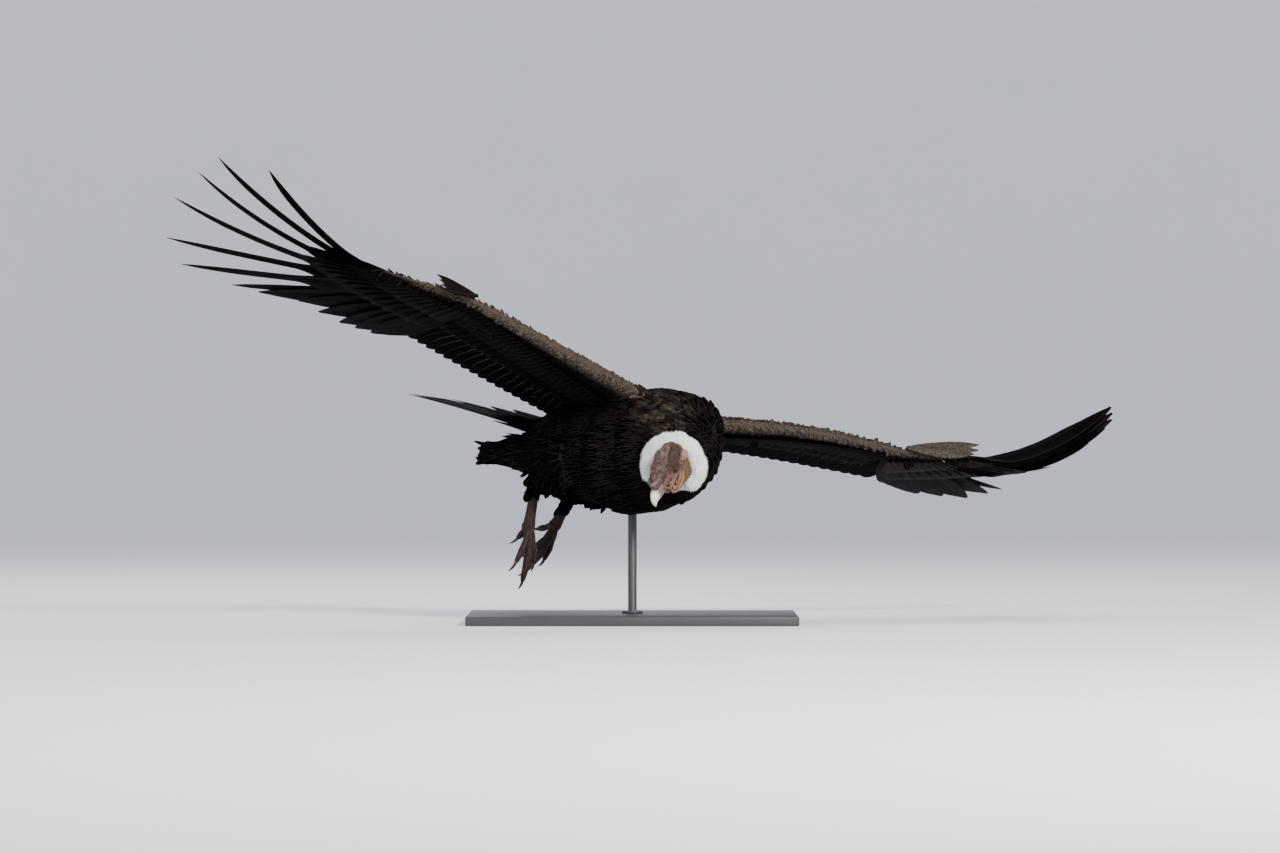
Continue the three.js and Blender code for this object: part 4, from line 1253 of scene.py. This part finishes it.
skin_places = points_of(skin)
skin_normals = normals_of(skin)
skin_triangles = triangles_of(skin)
skin_tree = BVHTree.FromPolygons([Vector(p) for p in skin_places], skin_triangles.tolist())
feathered = (bare < 0.35) & (scaly < 0.35)
owner_of = np.full(len(skin_places), -1)
owner_of[feathered] = nearest_nodes(skin_places[feathered], BODY_NODES)
rearward = of_bird((0, -1, -0.06))
downward = unit(of_bird((0, -0.45, -1)))
AXIS_START = np.array(BIRD @ Vector((0, 0.30, -0.04)))
ROOT_DEPTH = 0.001
random = np.random.default_rng(5)
feather_count = 0


def clear_of_skin(at, headings, facing, length):
    """Raise the feathers that would dive into the skin ahead of them, as in the fold before a thigh."""
    raised = np.zeros(len(at))
    for share in (0.45, 0.8):
        ahead = at + headings * (length * share)[:, None]
        for number, place in enumerate(ahead):
            found, normal, _, _ = skin_tree.find_nearest(Vector(place))
            depth = (Vector(place) - found).dot(normal)
            raised[number] = max(raised[number], min(0.5, (0.0012 - depth) / (length[number] * share)))
    return unit(headings + facing * raised[:, None])


def coat(name, owners_wanted, cell, lie, length, width, lift, seed, fade, unwrap, outline=SHORT, split=1, keep=None):
    """A coat of small feathers over the skin that belongs to some CAD nodes."""
    global feather_count
    wanted = np.isin(owner_of, [BODY_NODES.index(o) for o in owners_wanted])
    triangles = skin_triangles[wanted[skin_triangles].all(axis=1)]
    at, facing = sown(skin_places, skin_normals, triangles, cell, seed)
    if keep:
        inside = keep(at)
        at, facing = at[inside], facing[inside]
    headings = laid(facing, lie(at), lift, 0.10, random)
    headings = clear_of_skin(at, headings, facing, length(at))
    sizes = 1 + 0.12 * random.normal(size=len(at))
    place = unwrap(at)
    for part in range(split):
        own = np.arange(len(at)) % split == part
        group = blades(
            at[own] - facing[own] * ROOT_DEPTH, headings[own], facing[own], 1, (length(at) * sizes)[own],
            (width(at) * sizes)[own], lead=0.5, bend=-1.7 * lift, power=1.2, outline=outline, rings=6, columns=3,
            camber=0.10, shaft=0.0006, slant=0.3, ragged=0.06, thick=0.0005, fade=fade(at)[own], place=place[own],
            seed=seed)
        piece = mesh_from(f"{name}_{part + 1}" if split > 1 else name, [group])
        settle(piece, BODY_FINISH)
        feather_count += group["count"]


def on_body(at):
    """The unwrap of the body: round it, and along it."""
    return around(at, AXIS_START, unit(rearward), of_bird((0, 0, 1)), 0.85)


def even(value):
    """The same number at every place."""
    return lambda at: np.full(len(at), value)


def to_the_rear(at):
    """The lie of the body's coat."""
    return np.tile(rearward, (len(at), 1))


print("sown by", ROOT_DEPTH * 1000, "mm into the skin")

# %% Coat of the body
SHOULDER_BLOOM_AND_LIGHT = np.array([0.085, -0.20, 0.525])
BREAST_STREAK = np.array([-0.003, -0.22, 0.450])


def breast_fade(at):
    """A faint brown bloom in soft patches on the breast and shoulders, partly faded feathers and partly painted light
    on the lit shoulder.
    """
    patches = smooth_step(soft_noise(at, 48), -0.35, 0.65)
    shoulder = np.linalg.norm((at - SHOULDER_BLOOM_AND_LIGHT) / np.array([0.10, 0.20, 0.075]), axis=1)
    off = at - BREAST_STREAK
    streak = np.hypot((off[:, 0] - off[:, 2]) / 0.040, (off[:, 0] + off[:, 2]) / 0.010)
    bloom_and_light = 0.42 * smooth_step(-shoulder, -1.2, -0.3) * patches
    return bloom_and_light + 0.35 * smooth_step(-streak, -1.2, -0.3) * patches + 0.003


coat("body_feathers", ["torso"], 0.0094, to_the_rear,
     lambda at: lerp(0.028, 0.046, smooth_step(-seen_from(BIRD, at)[:, 1], -0.20, 0.05)), even(0.016), 10, 101,
     breast_fade, on_body, split=3)
coat("vent_feathers", ["vent"], 0.0115, to_the_rear,
     lambda at: lerp(0.060, 0.048, smooth_step(-seen_from(BIRD, at)[:, 1], 0.36, 0.45)), even(0.020), 6, 102,
     even(0.01), on_body, outline=POINTED)


# %% Coat of the thighs and wings
def across_arm(at, part):
    """Nought on the leading edge, and one where the flesh ends at the rear."""
    along = (at - part.start) @ part.out / part.length
    return ((at - part.edge(along)) * part.rear).sum(axis=1) / part.chord(np.clip(along, 0, 1))


def above_edge(at, part):
    """How high places lie above the leading edge."""
    along = np.clip((at - part.start) @ part.out / part.length, 0, 1)
    return ((at - part.edge(along)) * part.up).sum(axis=1)


def behind_edge(at, part):
    """Places behind the leading edge, less far back below, where the rows of coverts lie."""
    across = across_arm(at, part)
    return (across > 0.24) & (across < np.where(above_edge(at, part) > 0, 0.92, 0.5))


for side in POSES:
    lo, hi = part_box(f"thigh_{side}")
    top = np.array([(lo.x + hi.x) / 2, (lo.y + hi.y) / 2, hi.z])

    def down_leg(at):
        share = smooth_step(-at[:, 2], -hi.z + 0.03, -lerp(lo.z, hi.z, 0.45))[:, None]
        return rearward * (1 - share) + downward * share

    coat(f"thigh_feathers_{side}", [f"thigh_{side}"], 0.0105, down_leg,
         lambda at: lerp(0.030, 0.046, smooth_step(at[:, 2], lo.z + 0.04, hi.z)), even(0.020), 12, 103, even(0.005),
         lambda at: around(at, top, downward, rearward, float(hi.z - lo.z) * 1.1))
    for part, label, small in zip(WINGS[side], ("arm", "hand"), (1.0, 0.8)):
        out_and_back = part.rear + 0.45 * part.out

        # Brown along the leading edge, partly faded feathers and partly painted light. On the left wing it is kept to
        # the lower front, where the light falls, as painted light.
        def edge_fade(at):
            lit = smooth_step(-above_edge(at, part), -0.012, 0.004) if side == "left" else 0.9
            return 0.68 * smooth_step(-across_arm(at, part), -0.26, -0.06) * lit + 0.02

        shared = dict(lie=lambda at: np.tile(out_and_back, (len(at), 1)), fade=edge_fade,
                      unwrap=lambda at: around(at, part.start, part.out, part.rear, part.length * 1.05))
        coat(f"{label}_edge_{side}", [f"wing_{side}_{label}"], 0.0060 * small, length=even(0.019 * small),
             width=even(0.0085 * small), lift=5, seed=104, keep=lambda at: across_arm(at, part) < 0.30, **shared)
        coat(f"{label}_feathers_{side}", [f"wing_{side}_{label}"], 0.0088 * small, length=even(0.038 * small),
             width=even(0.016 * small), lift=7, seed=105, keep=lambda at: behind_edge(at, part), **shared)
print(feather_count, "small feathers")

# %% [markdown]
# ### The ruff of down
# Down has no stiff web, only fine loose strands. The ruff's core is a soft white ring, and thousands of
# thin strands stand out of it, all leaning the same way at first and then wandering.

# %% Ruff
RUFF_RADIUS = 0.060
RUFF_TUBE = 0.0175
NAPE_DROP = 0.034
ring_axis = of_bird(RUFF_AXIS)
ring_centre = np.array(BIRD @ Vector(RUFF_AT))
deselect()
bpy.ops.mesh.primitive_torus_add(
    major_radius=RUFF_RADIUS, minor_radius=RUFF_TUBE, major_segments=190, minor_segments=44)
core = bpy.context.object
core.name = "ruff_core"
flat = points_of(core)
turn = np.arctan2(flat[:, 1], flat[:, 0])
full = smooth_step(np.degrees(np.abs(turn)), 26, 58)
spoke = np.stack([np.cos(turn), np.sin(turn), 0 * turn], axis=1)
tube = flat - spoke * RUFF_RADIUS
seen = turned_by(BIRD, spoke[:, :1] * THROAT + spoke[:, 1:2] * BESIDE)
fuller = (0.35 + 0.65 * full) * (1.06 - 0.20 * np.clip(seen[:, 0], 0, 1) ** 2 + 0.10 * np.clip(seen[:, 2], 0, 1))
flat = spoke * RUFF_RADIUS + tube * fuller[:, None]
flat[:, 2] -= NAPE_DROP * (1 - full)
shaped = put_from(BIRD, RUFF_AT + flat[:, :1] * THROAT + flat[:, 1:2] * BESIDE + flat[:, 2:] * RUFF_AXIS)
move_points(core, shaped)
edit_all(core, bpy.ops.mesh.normals_make_consistent, inside=False)
core.data.update()
lumps = soft_noise(shaped, 45, 2.0) * 0.0030 + soft_noise(shaped, 130, 5.0) * 0.0014
move_points(core, shaped + normals_of(core) * lumps[:, None])
smooth_shaded(core)

# %% Down material
down = Recipe("white_down")
fluff = down.noise(300, 4)
clumps = down.noise(60, 2)
down.set(
    Base_Color=down.mix(clumps * 0.5 + fluff * 0.35, colour(255, 252, 248), colour(226, 218, 208)),
    Roughness=0.95,
    Normal=down.bump(fluff + clumps, 0.0012),
    Specular_IOR_Level=0.15,
    Sheen_Weight=0.4,
    Sheen_Roughness=0.6,
    Subsurface_Weight=0.25,
    Subsurface_Scale=0.006,
)
settle(core, down.material, ["ruff"])

# %% Strands of down
STRAND_CELL = 0.00185
at, facing = sown(points_of(core), normals_of(core), triangles_of(core), STRAND_CELL, 201)
off = at - ring_centre
radial = unit(off - ring_axis * (off @ ring_axis)[:, None])
wander = np.stack([soft_noise(at, 55, shift) for shift in (1.0, 4.0, 9.0)], axis=1)
headings = laid(facing, radial * 0.5 - ring_axis * 0.8 + 0.7 * wander, 26, 0.34, random)
place = around(at, ring_centre, ring_axis, np.array([0.0, 0.0, 1.0]), 0.1)
place[:, 1] = np.clip(0.5 + (off @ ring_axis) / 0.12, 0, 1)
for part in range(3):
    own = np.arange(len(at)) % 3 == part
    count = int(own.sum())
    strands = blades(
        at[own] - facing[own] * ROOT_DEPTH, headings[own], facing[own], 1, random.uniform(0.0080, 0.0130, count),
        0.0015, lead=0.5, bend=random.uniform(-40, 0, count), outline=[[0, 1], [0.5, 0.8], [1, 0.15]], rings=4,
        columns=2, camber=0.0, slant=0.0, ragged=0.1, thick=0.0006, place=place[own], seed=202 + part)
    settle(mesh_from(f"ruff_down_{part + 1}", [strands]), down.material)

# %% [markdown]
# ## The stand
# A flat steel base and a turned rod carry the bird. The rod runs on into the belly, so no gap shows where
# the feathers end. Both get a dark satin paint, with fine dust and a faint grain.

# %% Stand paint and base
paint = Recipe("stand_paint")
speckle = paint.noise(420, 4)
wear = paint.noise(7, 3)
paint.set(
    Base_Color=paint.mix(speckle * 0.4 + wear * 0.3, colour(42, 43, 46), colour(62, 63, 66)),
    Roughness=0.42 + wear * 0.16,
    Normal=paint.bump(speckle, 0.00015),
    Coat_Weight=0.15,
)


def bevelled(piece, width, segments):
    """The piece with its sharp edges rounded."""
    edges = piece.modifiers.new("edge", "BEVEL")
    edges.width = width
    edges.segments = segments
    edges.limit_method = "ANGLE"
    apply_modifiers(piece)
    bpy.ops.object.shade_smooth_by_angle(angle=math.radians(40))
    return piece


base = bevelled(copy_of(["stand_base"], "stand_base_edged"), 0.004, 4)
settle(base, paint.material, ["stand_base"])

# %% Rod with a turned foot
ROD_INTO_BODY = 0.035
COLLAR_THICK = 0.006
COLLAR_WIDER = 2.4
low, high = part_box("stand_rod")
middle = ((low.x + high.x) / 2, (low.y + high.y) / 2)
deselect()
bpy.ops.mesh.primitive_cylinder_add(
    vertices=64, radius=(high.x - low.x) / 2, depth=high.z - low.z + ROD_INTO_BODY,
    location=(*middle, (low.z + high.z + ROD_INTO_BODY) / 2))
rod = bpy.context.object
rod.name = "stand_rod_turned"
bpy.ops.object.mode_set(mode="EDIT")
bpy.ops.mesh.select_all(action="DESELECT")
cage = bmesh.from_edit_mesh(rod.data)
for face in cage.faces:
    face.select = len(face.verts) > 4 and face.normal.z < -0.5
bmesh.update_edit_mesh(rod.data)
bpy.ops.mesh.extrude_region_move(TRANSFORM_OT_translate={"value": (0, 0, 0)})
bpy.ops.transform.resize(value=(COLLAR_WIDER, COLLAR_WIDER, 1), center_override=(*middle, low.z))
bpy.ops.mesh.extrude_region_move(TRANSFORM_OT_translate={"value": (0, 0, COLLAR_THICK)})
bpy.ops.object.mode_set(mode="OBJECT")
bpy.ops.object.transform_apply(location=True)
settle(bevelled(rod, 0.0012, 3), paint.material, ["stand_rod"])
